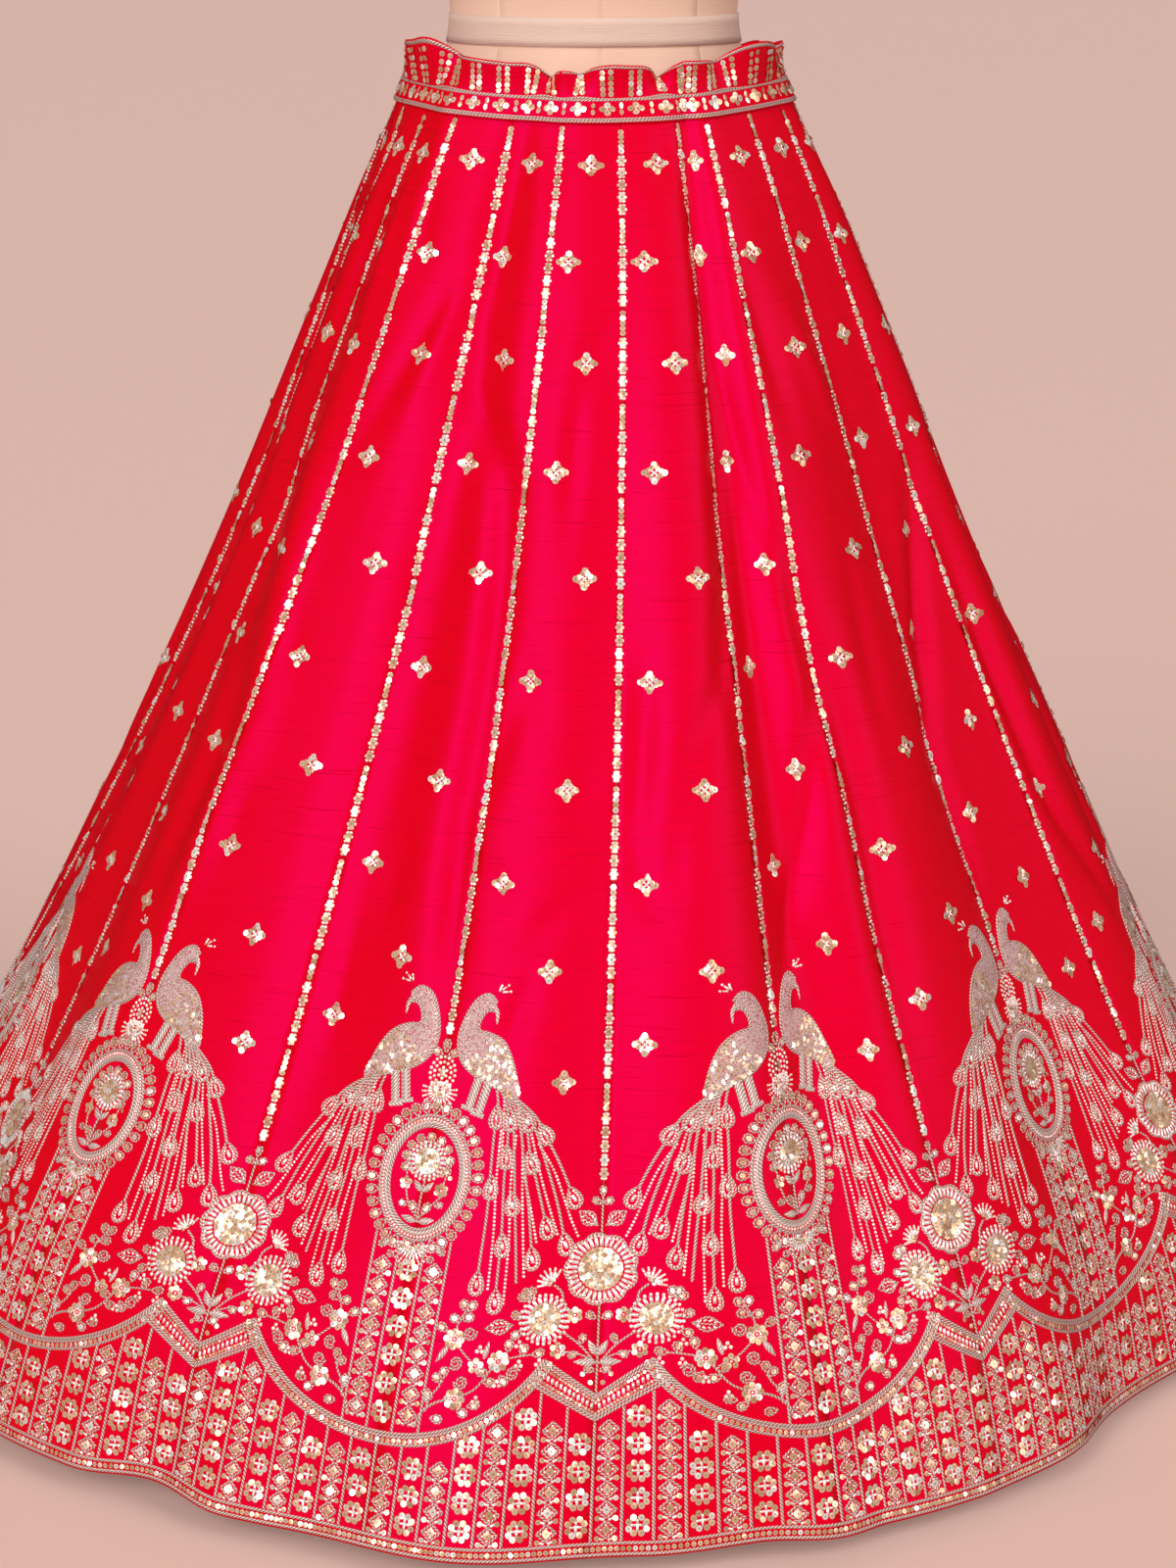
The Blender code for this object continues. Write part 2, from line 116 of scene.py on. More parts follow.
HEM_KINKS = (
    # seam, reach in panels, push, lift
    (-4.6, 0.5, 0.006, 0.004),
    (-2.1, 0.4, -0.010, 0.006),
    (-0.5, 0.7, 0.004, 0.000),
    (0.7, 0.5, -0.005, 0.003),
    (0.95, 0.3, 0.007, 0.000),
    (2.5, 0.5, 0.008, 0.004),
    (4.1, 0.5, -0.006, 0.005),
    (6.6, 0.6, 0.007, 0.003),
    (9.3, 0.5, -0.007, 0.005),
    (12.1, 0.5, 0.007, 0.003),
    (14.9, 0.5, -0.006, 0.005),
    (17.6, 0.6, 0.006, 0.004),
)
HEM_KINK_FADE = 0.070
BAND_FOOT_SHARE = 0.987
BAND_HEIGHT = 0.046
BAND_LINE = 0.42
BAND_OUT = WALL + 2 * GAP
BAND_ENDS_AT = -5.0
BAND_ENDS_GAP = 0.02
BAND_ENDS = (BAND_ENDS_AT + BAND_ENDS_GAP, BAND_ENDS_AT + PANELS - BAND_ENDS_GAP)
RUFFLES = (
    # azimuth, push, lift
    (-92.0, -0.004, -0.004),
    (-80.0, 0.006, 0.004),
    (-66.0, 0.013, 0.009),
    (-55.0, 0.011, 0.012),
    (-48.0, -0.004, 0.002),
    (-41.0, 0.004, 0.002),
    (-27.0, 0.007, 0.001),
    (-19.0, 0.003, -0.001),
    (-14.5, -0.008, -0.012),
    (-9.0, 0.006, -0.003),
    (-4.0, -0.004, -0.007),
    (1.0, 0.005, 0.000),
    (10.0, 0.007, 0.001),
    (16.0, 0.003, -0.002),
    (20.5, -0.009, -0.014),
    (25.0, 0.007, -0.001),
    (33.0, 0.006, 0.001),
    (41.5, -0.001, -0.002),
    (50.0, 0.008, 0.007),
    (60.0, 0.012, 0.009),
    (70.0, 0.007, 0.004),
    (80.0, -0.006, -0.003),
    (94.0, 0.008, 0.003),
    (108.0, -0.008, -0.006),
    (121.0, 0.008, 0.003),
    (133.0, -0.007, -0.008),
    (147.0, 0.009, 0.002),
    (160.0, -0.008, -0.009),
    (173.0, 0.008, 0.002),
    (187.0, -0.007, -0.007),
    (200.0, 0.009, 0.003),
    (213.0, -0.008, -0.008),
    (227.0, 0.008, 0.002),
    (240.0, -0.007, -0.006),
    (254.0, 0.008, 0.003),
)
FORM_SECTIONS = (
    # height, half_width, front_depth, back_depth
    (0.790, 0.146, 0.100, 0.110),
    (0.800, 0.156, 0.109, 0.120),
    (0.850, 0.162, 0.114, 0.127),
    (0.905, 0.158, 0.111, 0.121),
    (0.955, 0.140, 0.104, 0.107),
    (1.000, 0.121, 0.096, 0.091),
    (1.030, 0.114, 0.092, 0.084),
    (1.075, 0.118, 0.099, 0.086),
    (1.150, 0.134, 0.121, 0.097),
    (1.215, 0.146, 0.134, 0.103),
    (1.280, 0.155, 0.118, 0.103),
    (1.335, 0.164, 0.096, 0.097),
    (1.375, 0.153, 0.080, 0.084),
    (1.400, 0.115, 0.069, 0.073),
    (1.418, 0.072, 0.060, 0.061),
    (1.440, 0.057, 0.055, 0.055),
    (1.475, 0.054, 0.053, 0.053),
)
ARM_PLANE = 0.153
ARM_PLANE_FOOT = 1.2
FORM_SEAMS = np.array((-136.0, -88.0, -40.0, 3.0, 44.6, 90.0, 137.0, 179.0))
TAPE_HEIGHT = 0.022
TAPE_MIDDLE = 1.028
SEAT_CLEARANCE = 0.0007

# Soft creases of the silk: a Gaussian trough or ridge, long one way and narrow the other
FRONT_CREASES = (
    # seam, rise, length, width, lean in degrees, push
    (-4.24, 0.913, 0.065, 0.0069, -1, -0.0035),
    (-3.7, 0.668, 0.126, 0.0168, -18, -0.004),
    (-3.53, 0.934, 0.06, 0.0069, -4, 0.0025),
    (-3.34, 0.486, 0.091, 0.0168, 3, -0.004),
    (-3.15, 1.007, 0.059, 0.0079, -4, 0.003),
    (-3.14, 0.676, 0.124, 0.0168, -8, 0.006),
    (-3.01, 0.494, 0.089, 0.0168, 4, 0.006),
    (-3.01, 0.984, 0.042, 0.0059, -12, -0.0025),
    (-2.89, 0.641, 0.024, 0.0049, -15, -0.002),
    (-2.83, 0.507, 0.027, 0.0059, -7, -0.0018),
    (-2.59, 0.86, 0.074, 0.0069, 15, -0.0025),
    (-2.31, 0.862, 0.084, 0.0059, 9, 0.002),
    (-1.97, 0.681, 0.027, 0.0049, -2, -0.0015),
    (-1.8, 0.387, 0.049, 0.0069, -3, -0.002),
    (-1.8, 0.979, 0.09, 0.0148, 2, -0.004),
    (-1.69, 0.87, 0.045, 0.0059, -43, -0.002),
    (-1.56, 0.468, 0.027, 0.0059, 2, -0.0016),
    (-1.47, 0.81, 0.039, 0.0129, -28, -0.006),
    (-1.19, 0.747, 0.039, 0.0129, -5, -0.006),
    (-1.13, 0.571, 0.072, 0.0129, 2, -0.006),
    (-1.13, 0.673, 0.046, 0.0129, -1, -0.006),
    (-1.11, 1.028, 0.043, 0.0059, -8, -0.0025),
    (-1.1, 0.455, 0.064, 0.0119, -5, -0.006),
    (-0.93, 0.57, 0.051, 0.0089, 11, -0.003),
    (-0.89, 0.887, 0.023, 0.0049, 18, -0.0016),
    (-0.85, 0.471, 0.028, 0.0059, -43, -0.002),
    (-0.7, 0.615, 0.022, 0.0059, -20, -0.002),
    (-0.59, 0.379, 0.031, 0.0069, 15, -0.0035),
    (-0.52, 0.795, 0.053, 0.0069, 1, -0.003),
    (-0.46, 0.444, 0.026, 0.0059, 50, -0.003),
    (-0.32, 0.875, 0.027, 0.0049, 7, -0.0018),
    (-0.27, 0.547, 0.026, 0.0059, 4, -0.0016),
    (0.0, 0.771, 0.026, 0.0049, 0, -0.002),
    (0.19, 0.575, 0.058, 0.0079, 3, -0.004),
    (0.23, 0.476, 0.033, 0.0069, -16, -0.0025),
    (0.41, 0.487, 0.032, 0.0069, -1, -0.0018),
    (0.53, 0.548, 0.026, 0.0059, 10, -0.002),
    (0.63, 1.025, 0.02, 0.0049, 1, -0.003),
    (0.7, 0.602, 0.033, 0.0079, 23, -0.003),
    (0.9, 0.669, 0.048, 0.0109, 8, -0.006),
    (0.92, 0.598, 0.035, 0.0069, -12, -0.003),
    (0.99, 0.75, 0.046, 0.0109, 3, -0.006),
    (1.06, 0.841, 0.06, 0.0109, 2, -0.006),
    (1.07, 0.953, 0.069, 0.0089, -1, -0.005),
    (1.42, 0.457, 0.067, 0.0089, 26, -0.004),
    (1.59, 0.78, 0.076, 0.0069, -11, -0.0025),
    (1.79, 0.557, 0.058, 0.0109, 15, -0.005),
    (1.93, 0.66, 0.064, 0.0109, 0, -0.006),
    (2.08, 0.423, 0.1, 0.0138, 2, -0.007),
    (2.11, 0.57, 0.071, 0.0129, -1, -0.006),
    (2.21, 0.868, 0.06, 0.0069, -5, -0.003),
    (2.5, 0.626, 0.079, 0.0059, 3, -0.0025),
    (2.76, 0.848, 0.054, 0.0059, -10, 0.003),
    (3.01, 0.481, 0.072, 0.0109, -2, -0.005),
    (3.38, 0.627, 0.105, 0.0109, 22, -0.006),
    (4.22, 0.563, 0.109, 0.0099, -2, -0.006),
    (4.38, 0.422, 0.057, 0.0089, -17, -0.005),
)
CREASE_SHARE = 1.4
NARROWEST_CREASE = 0.0085
FRONT_TO_BACK, BACK_BREADTH = 12.2, 1.1
FRONT_TO_SIDE, SIDE_BREADTH, SIDE_DROP, SIDE_REACH = 6.1, 1.15, 0.02, 1.2


def creases_all_round():
    """The front's creases, with the same mirrored for the back and its middle's for the sides."""
    rows = list(FRONT_CREASES)
    for seam, rise, length, width, lean, push in FRONT_CREASES:
        rows.append((FRONT_TO_BACK - seam, rise, length, BACK_BREADTH * width, -lean, push))
    for side in (1, -1):
        for seam, rise, length, width, lean, push in FRONT_CREASES:
            if abs(seam) < SIDE_REACH:
                place, wide = side * (FRONT_TO_SIDE + seam), SIDE_BREADTH * width
                rows.append((place, rise - SIDE_DROP, length, wide, side * lean, push))
    return rows


CREASES = creases_all_round()


def smooth_between(x, rows_x, rows_y):
    """A smooth curve through the rows' points, read at x."""
    rows_x = np.asarray(rows_x, float)
    rows_y = np.asarray(rows_y, float)
    slopes = np.gradient(rows_y, rows_x)
    x = np.clip(x, rows_x[0], rows_x[-1])
    i = np.clip(np.searchsorted(rows_x, x) - 1, 0, len(rows_x) - 2)
    step = rows_x[i + 1] - rows_x[i]
    t = (x - rows_x[i]) / step
    start = (1 + 2 * t) * (1 - t) ** 2 * rows_y[i] + t * (1 - t) ** 2 * step * slopes[i]
    end = t * t * (3 - 2 * t) * rows_y[i + 1] - t * t * (1 - t) * step * slopes[i + 1]
    return start + end


def round_and_round(x, rows_x, rows_y, turn):
    """smooth_between on rows that repeat after one turn."""
    rows_x = np.concatenate([[rows_x[-1] - turn], rows_x, [rows_x[0] + turn]])
    rows_y = np.concatenate([[rows_y[-1]], rows_y, [rows_y[0]]])
    return smooth_between((x - rows_x[0]) % turn + rows_x[0], rows_x, rows_y)


def columns_of(table):
    return np.array(table, float).T


def cloth_measure():
    """The skirt's profile as a fine list: rise up the cloth, height, half width, half depth."""
    heights, widths, depths = columns_of(SKIRT_PROFILE)
    height = np.linspace(heights[0], heights[-1], 600)
    width = smooth_between(height, heights, widths)
    depth = smooth_between(height, heights, depths)
    middle = (width + depth) / 2
    rise = np.concatenate([[0], np.cumsum(np.hypot(np.diff(height), np.diff(middle)))])
    return rise, height, width, depth


RISE, HEIGHT, HALF_WIDTH, HALF_DEPTH = cloth_measure()
PANEL_LENGTH = float(np.interp(PANEL_TOP, HEIGHT, RISE))


def panel_width(rise):
    """The nominal width of one panel at a rise."""
    return np.interp(rise, RISE, HALF_WIDTH + HALF_DEPTH) * math.pi / PANELS


def level_weights(rise):
    """How much a place takes from the waist, half way and hem columns of a table."""
    down = 1 - np.clip(rise / PANEL_LENGTH, 0, 1)
    waist = (down - HALF_WAY) * (down - 1) / HALF_WAY
    middle = down * (down - 1) / (HALF_WAY * (HALF_WAY - 1))
    hem = down * (down - HALF_WAY) / (1 - HALF_WAY)
    return waist, middle, hem


def seam_azimuth(seam, rise):
    """Azimuth in degrees of a place on the cloth."""
    rows = columns_of(FRONT_SEAMS)
    first = rows[0][0]
    turns = np.floor((seam - first) / PANELS)
    within = seam - turns * PANELS
    seams = np.concatenate([rows[0] - PANELS, rows[0], rows[0] + PANELS])
    azimuth = turns * 360
    for weight, row in zip(level_weights(rise), rows[1:]):
        around = np.concatenate([row - 360, row, row + 360])
        azimuth = azimuth + weight * smooth_between(within, seams, around)
    return azimuth


def panels_off(seam, middle):
    """How many panels a place is from a middle, the short way round the skirt."""
    return (seam - middle + PANELS / 2) % PANELS - PANELS / 2


def hump(seam, middle, reach):
    """1 at the middle, easing to 0 at the reach on both sides."""
    return np.cos(np.clip(panels_off(seam, middle) / reach, -1, 1) * math.pi / 2) ** 2


def flute_push(seam, rise):
    waist, middle, hem = level_weights(rise)
    push = 0
    for at, reach, at_waist, half_way, at_hem in FLUTES:
        depth = waist * at_waist + middle * half_way + hem * at_hem
        push = push + depth * hump(seam, at, reach)
    low = np.clip(1 - rise / PANEL_LENGTH, 0, 1)
    return push + PANEL_BELLY * np.sin(math.pi * seam) ** 2 * np.sin(math.pi * low)


def hem_kink(seam, rise):
    fade = np.exp(-((rise / HEM_KINK_FADE) ** 2))
    push, lift = 0, 0
    for at, reach, out, up in HEM_KINKS:
        wave = hump(seam, at, reach) * fade
        push, lift = push + out * wave, lift + up * wave
    return push, lift


def crease_push(seam, rise):
    """The soft creases of the silk."""
    push = 0
    width = panel_width(rise)
    for at, height, length, breadth, lean, depth in CREASES:
        off, up = panels_off(seam, at) * width, rise - height
        turn = math.radians(lean)
        lengthways = up * math.cos(turn) + off * math.sin(turn)
        crossways = off * math.cos(turn) - up * math.sin(turn)
        breadth = max(breadth, NARROWEST_CREASE)
        push = push + depth * np.exp(-((lengthways / length) ** 2) - (crossways / breadth) ** 2)
    return CREASE_SHARE * push


def cloth_place(seam, rise):
    """Where a place on the cloth's middle surface is: azimuth, half width, half depth, height."""
    around = np.radians(seam_azimuth(seam, rise))
    kink_push, kink_lift = hem_kink(seam, rise)
    push = flute_push(seam, rise) + kink_push + crease_push(seam, rise)
    width = np.interp(rise, RISE, HALF_WIDTH) + push
    depth = np.interp(rise, RISE, HALF_DEPTH) + push
    side = 1 + SIDE_RISE * np.sin(around) ** 2
    height = HEM_CLEARANCE + np.interp(rise, RISE, HEIGHT) * side + kink_lift
    return around, width, depth, height


def point_at(around, width, depth, height, sway=0.0):
    return sway + width * np.sin(around), -depth * np.cos(around), height


def sway_at(rise):
    """The hem hangs a little to one side of the waist."""
    return HEM_SWAY * (1 - np.clip(rise / PANEL_LENGTH, 0, 1))


def skirt_point(seam, rise):
    """The middle of the cloth's wall."""
    return point_at(*cloth_place(seam, rise), sway_at(rise))


def band_point(seam, share):
    """A place on the waistband. Share is 0 at its foot and 1 at its ruffled top."""
    rise = BAND_FOOT_SHARE * PANEL_LENGTH + share * BAND_HEIGHT
    around, width, depth, height = cloth_place(seam, rise)
    at, pushes, lifts = columns_of(RUFFLES)
    azimuth = np.degrees(around)
    heading = np.clip((share - BAND_LINE) / (1 - BAND_LINE), 0, 1)
    push = round_and_round(azimuth, at, pushes, 360) * heading
    height = height + round_and_round(azimuth, at, lifts, 360) * heading**2
    return point_at(around, width + push, depth + push, height, sway_at(rise))


def form_half_sizes(height, around):
    """Half width and half depth of the form at a height, for a direction from its axis."""
    heights, widths, fronts, backs = columns_of(FORM_SECTIONS)
    width, front, back = (smooth_between(height, heights, row) for row in (widths, fronts, backs))
    return width, np.where(np.cos(around) > 0, front, back)


def form_point(azimuth, height):
    around = np.radians(azimuth)
    return point_at(around, *form_half_sizes(height, around), height)


def clear_of_form(points, off):
    """Points moved out where they would enter the form."""
    x, y, height = points.T
    width, depth = form_half_sizes(height, np.arctan2(x, -y))
    least = SEAT_CLEARANCE + off
    grow = np.maximum(1, 1 / np.hypot(x / (width + least), y / (depth + least)))
    return np.stack([x * grow, y * grow, height], axis=1)


def laid_on(surface, first, second, steps=(STEP, STEP)):
    """Points on a surface with their directions across it, up it and out of it."""
    points = np.stack(surface(first, second), axis=1)
    ahead, back = surface(first + steps[0], second), surface(first - steps[0], second)
    across = np.stack(ahead, axis=1) - np.stack(back, axis=1)
    ahead, back = surface(first, second + steps[1]), surface(first, second - steps[1])
    up = np.stack(ahead, axis=1) - np.stack(back, axis=1)
    out = np.cross(across, up)
    out /= np.linalg.norm(out, axis=1)[:, None]
    across /= np.linalg.norm(across, axis=1)[:, None]
    return points, across, np.cross(out, across), out


# Finishes


def add_node(tree, kind, inputs=None, **settings):
    """A shader node with its settings, and each input a value or another node's socket."""
    node = tree.nodes.new("ShaderNode" + kind)
    for name, value in settings.items():
        setattr(node, name, value)
    for name, value in (inputs or {}).items():
        if isinstance(value, bpy.types.NodeSocket):
            tree.links.new(value, node.inputs[name])
        else:
            node.inputs[name].default_value = value
    return node


def ramp_of(tree, factor, *stops):
    """A colour ramp of (position, colour) stops."""
    node = add_node(tree, "ValToRGB", {"Fac": factor})
    while len(node.color_ramp.elements) < len(stops):
        node.color_ramp.elements.new(0.5)
    for element, (position, colour) in zip(node.color_ramp.elements, stops):
        element.position = position
        element.color = (*colour, 1)
    return node.outputs["Color"]


def maths(tree, operation, first, second=0.0):
    return add_node(tree, "Math", {0: first, 1: second}, operation=operation).outputs[0]


def effect(name, inputs, outputs):
    """An empty node group of named float inputs and outputs. Returns the tree and its ends."""
    tree = bpy.data.node_groups.new(name, "ShaderNodeTree")
    for label, value in inputs:
        socket = tree.interface.new_socket(label, in_out="INPUT", socket_type="NodeSocketFloat")
        socket.default_value = value
    for label in outputs:
        tree.interface.new_socket(label, in_out="OUTPUT", socket_type="NodeSocketFloat")
    return tree, tree.nodes.new("NodeGroupInput").outputs, tree.nodes.new("NodeGroupOutput").inputs


def stretched_noise(tree, coordinates, scale_across, scale_up, detail):
    """Noise in the cloth's own metres, finer one way than the other."""
    scale = (scale_across, scale_up, 1)
    mapped = add_node(tree, "Mapping", {"Vector": coordinates, "Scale": scale}).outputs[0]
    noise = add_node(tree, "TexNoise", {"Vector": mapped, "Scale": 1.0, "Detail": detail})
    return noise.outputs["Fac"]


def slub_effect():
    """Raw silk: fine threads with thicker slubs across the cloth. Puts out tone and height."""
    tree, given, out = effect(
        "slubbed_weave", [("Slub", 1.0), ("Thread", 1.0)], ["Tone", "Height"]
    )
    cloth = add_node(tree, "UVMap").outputs[0]
    fine = maths(tree, "SUBTRACT", stretched_noise(tree, cloth, 30, 1100, 2), 0.5)
    warp = maths(tree, "SUBTRACT", stretched_noise(tree, cloth, 1300, 90, 1), 0.5)
    patch = maths(tree, "MULTIPLY", stretched_noise(tree, cloth, 7, 9, 1), 7.0)
    # Only the noise's highest streaks become slubs
    slubs = maths(tree, "SUBTRACT", stretched_noise(tree, cloth, 16, 520, 2), 0.63)
    slubs = maths(tree, "MULTIPLY", maths(tree, "MAXIMUM", slubs, 0.0), patch)
    slubs = maths(tree, "MULTIPLY", slubs, given["Slub"])
    warp = maths(tree, "MULTIPLY", warp, 0.45)
    threads = maths(tree, "MULTIPLY", maths(tree, "ADD", fine, warp), given["Thread"])
    both = maths(tree, "SUBTRACT", threads, slubs)
    for label in ("Tone", "Height"):
        tree.links.new(both, out[label])


def group_in(tree, group, **values):
    node = tree.nodes.new("ShaderNodeGroup")
    node.node_tree = bpy.data.node_groups[group]
    for name, value in values.items():
        node.inputs[name].default_value = value
    return node.outputs


def new_finish(name, roughness, metallic=0.0, **constants):
    """A material with its Principled shader, whose plain constants are set on its own sockets."""
    material = bpy.data.materials.new(name)
    material.use_nodes = True
    tree = material.node_tree
    shader = tree.nodes["Principled BSDF"]
    shader.inputs["Roughness"].default_value = roughness
    shader.inputs["Metallic"].default_value = metallic
    for label, value in constants.items():
        shader.inputs[label.replace("_", " ")].default_value = value
    return tree, shader.inputs


def mixed(tree, factor, first, second):
    """A colour between two, each a colour or another node's socket."""
    node = tree.nodes.new("ShaderNodeMix")
    node.data_type = "RGBA"
    for socket, value in ((0, factor), (6, first), (7, second)):
        if isinstance(value, bpy.types.NodeSocket):
            tree.links.new(value, node.inputs[socket])
        else:
            node.inputs[socket].default_value = (*value, 1)
    return node.outputs[2]


def relief(tree, shader, height, distance, strength=1.0):
    values = {"Height": height, "Distance": distance, "Strength": strength}
    tree.links.new(add_node(tree, "Bump", values).outputs[0], shader["Normal"])


def tint(tree, shader, factor, *stops):
    """The finish's colour, read from a ramp of (position, colour) stops."""
    tree.links.new(ramp_of(tree, factor, *stops), shader["Base Color"])


def uv_place(tree):
    return add_node(tree, "SeparateXYZ", {0: add_node(tree, "UVMap").outputs[0]}).outputs


def woven_finish(name, dark, light, roughness, slub, thread, depth, **constants):
    """A woven cloth: its tone runs from dark to light with the slubs and threads."""
    tree, shader = new_finish(name, roughness, **constants)
    weave = group_in(tree, "slubbed_weave", Slub=slub, Thread=thread)
    tone = maths(tree, "ADD", weave["Tone"], 0.5)
    tint(tree, shader, tone, (0.15, dark), (0.85, light))
    relief(tree, shader, weave["Height"], depth)


def thread_finish(name, dark, light, roughness):
    """Twisted metal thread: slanting turns along the cord, raised by a bump, with painted shade in
    the grooves between them.
    """
    tree, shader = new_finish(name, roughness, 0.25)
    place = uv_place(tree)
    slant = maths(tree, "MULTIPLY", maths(tree, "ADD", place[0], place[1]), 2200.0)
    twist_height_and_groove_shade = maths(tree, "MULTIPLY_ADD", maths(tree, "SINE", slant), 0.5)
    twist_height_and_groove_shade.node.inputs[2].default_value = 0.5
    # The ramp's dark end is painted shade in the grooves between the turns
    tint(tree, shader, twist_height_and_groove_shade, (0.1, dark), (0.75, light))
    relief(tree, shader, twist_height_and_groove_shade, 0.0004, 0.7)


def seed_finish():
    """Dense seed stitches: pale knots with the red cloth between them, darkened round the knots as
    painted shade.
    """
    tree, shader = new_finish("seed_stitch_metal", 0.45, 0.3)
    place = add_node(tree, "UVMap").outputs[0]
    away = add_node(tree, "TexVoronoi", {"Vector": place, "Scale": 1100.0}).outputs["Distance"]
    pale, middle, shade = (0.74, 0.59, 0.54), (0.61, 0.38, 0.35), (0.46, 0.08, 0.11)
    # The middle and dark stops are painted shade round the raised knots, the dark one over the red
    # cloth between them
    tint(tree, shader, away, (0.25, pale), (0.55, middle), (0.8, shade))
    relief(tree, shader, maths(tree, "SUBTRACT", 1.0, away), 0.0005)


def bead_finish(name, inner, outer, roughness, metallic):
    """Sequins or beads: a dark eye, and each its own tone, with painted glints and dull reflections
    among them.
    """
    tree, shader = new_finish(name, roughness, metallic)
    place = uv_place(tree)
    off = maths(tree, "SUBTRACT", maths(tree, "FRACT", place[0]), 0.5)
    up = maths(tree, "SUBTRACT", place[1], 0.5)
    squares = maths(tree, "MULTIPLY", off, off), maths(tree, "MULTIPLY", up, up)
    away = maths(tree, "SQRT", maths(tree, "ADD", *squares))
    number = {"W": maths(tree, "FLOOR", place[0])}
    own = add_node(tree, "TexWhiteNoise", number, noise_dimensions="1D").outputs["Value"]
    # Dimmed pieces are a painted dull reflection, and near-white ones a painted glint
    painted_dull_reflection = tuple(c * share for c, share in zip(outer, (0.76, 0.62, 0.52)))
    bright = tuple(0.35 * c + 0.62 for c in outer)
    own_tone_and_painted_light = ramp_of(tree, own, (0.0, painted_dull_reflection), (0.6, outer), (0.86, bright))
    # The dark eye stands for the sequin's hole, its darkness painted shade in the hole
    eye = ramp_of(tree, away, (0.06, (0, 0, 0)), (0.13, (1, 1, 1)))
    tree.links.new(mixed(tree, eye, inner, own_tone_and_painted_light), shader["Base Color"])


def make_finishes():
    """Every material. Colours run from dark to light."""
    slub_effect()
    look = bpy.context.scene.lehenga_looks
    silk, floor = tuple(look.silk), tuple(look.floor)
    woven_finish(
        "slubbed_crimson_silk",
        tuple(0.76 * c for c in silk),
        tuple(min(1, 1.1 * c) for c in silk),
        0.47,
        0.8,
        0.5,
        0.0003,
        Specular_IOR_Level=0.38,
        Specular_Tint=(1.0, 0.01, 0.72, 1),
    )
    for row in (
        # name, dark, light, roughness, slub, thread, depth
        ("lilac_lining_cloth", (0.34, 0.29, 0.34), (0.47, 0.41, 0.47), 0.6, 0.3, 0.8, 0.0003),
        ("form_linen", (0.70, 0.46, 0.335), (0.76, 0.51, 0.38), 0.85, 0.3, 0.6, 0.0002),
        ("form_tape_ribbon", (0.60, 0.42, 0.34), (0.67, 0.48, 0.39), 0.7, 0.2, 1.0, 0.0003),
    ):
        woven_finish(*row)
    thread_finish("twisted_metal_cord", (0.25, 0.09, 0.07), (0.71, 0.54, 0.48), 0.38)
    thread_finish("satin_stitch_metal", (0.38, 0.22, 0.19), (0.73, 0.60, 0.54), 0.4)
    seed_finish()
    bead_finish("gilt_sequin", (0.34, 0.17, 0.09), (0.82, 0.57, 0.38), 0.24, 0.4)
    bead_finish("pearl_seed_bead", (0.88, 0.72, 0.65), (0.88, 0.74, 0.66), 0.22, 0.1)
    bead_finish("silver_bugle_bead", (0.88, 0.80, 0.76), (0.88, 0.80, 0.76), 0.2, 0.4)
    tree, shader = new_finish("turned_beech", 0.42, Coat_Weight=0.3)
    grain = stretched_noise(tree, add_node(tree, "TexCoord").outputs["Object"], 60, 60, 4)
    tint(tree, shader, grain, (0.3, (0.30, 0.15, 0.07)), (0.7, (0.48, 0.29, 0.15)))
    for name, roughness, metallic, scale, detail, low, high in (
        (
            "brushed_pole_steel", 0.3, 1.0, 40.0, 3.0,
            (0.3, (0.55, 0.55, 0.56)), (0.7, (0.68, 0.68, 0.69)),
        ),
        (
            "black_base_enamel", 0.5, 0.2, 25.0, 4.0,
            (0.3, (0.035, 0.035, 0.038)), (0.7, (0.06, 0.06, 0.065)),
        ),
        ("pale_floor", 0.9, 0.0, 3.0, 2.0, (0.2, tuple(0.97 * c for c in floor)), (0.8, floor)),
    ):
        tree, shader = new_finish(name, roughness, metallic)
        mottle = add_node(tree, "TexNoise", {"Scale": scale, "Detail": detail})
        tint(tree, shader, mottle.outputs["Fac"], low, high)


def make_piece(name, points, faces, places, finish, slot):
    """A mesh piece that rides on the form. Places are its UVs in metres, one for each point."""
    mesh = bpy.data.meshes.new(name)
    mesh.from_pydata(points.tolist(), [], faces if isinstance(faces, list) else faces.tolist())
    layer = mesh.uv_layers.new(name="UVMap")
    corner = np.empty(len(mesh.loops), int)
    mesh.loops.foreach_get("vertex_index", corner)
    layer.data.foreach_set("uv", np.asarray(places, float)[corner].ravel())
    mesh.shade_smooth()
    piece = bpy.data.objects.new(name, mesh)
    bpy.context.scene.collection.objects.link(piece)
    mesh.materials.append(bpy.data.materials[finish])
    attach(piece, "root")
    return piece


def pairs(first, second):
    return np.stack([first, second], axis=1)


def grid_quads(corner):
    """Quads between the neighbours of a grid of point numbers."""
    quads = [corner[:-1, :-1], corner[:-1, 1:], corner[1:, 1:], corner[1:, :-1]]
    return np.stack(quads, axis=-1).reshape(-1, 4)


def shell(columns, rows, surface, wall, fit=None):
    """A closed thin wall over a grid of (first, second) places: points, faces and their places."""
    first, second = (grid.ravel() for grid in np.meshgrid(columns, rows))
    middle, _, _, out = laid_on(surface, first, second)
    halves = []
    for side in (1, -1):
        points = middle + out * (side * wall / 2)
        halves.append(fit(points, (side + 1) * wall / 2) if fit else points)
    count = len(first)
    corner = np.arange(count).reshape(len(rows), len(columns))
    quads = grid_quads(corner)
    rim = np.concatenate([corner[0], corner[1:, -1], corner[-1, -2::-1], corner[-2:0:-1, 0]])
    ahead = np.roll(rim, -1)
    sides = np.stack([rim, rim + count, ahead + count, ahead], axis=1)
    faces = np.concatenate([quads, quads[:, ::-1] + count, sides])
    return np.concatenate(halves), faces, np.tile(pairs(first, second), (2, 1))


def in_metres(places):
    """(seam, rise) places as distances across and up the cloth."""
    return pairs(places[:, 0] * panel_width(places[:, 1]), places[:, 1])


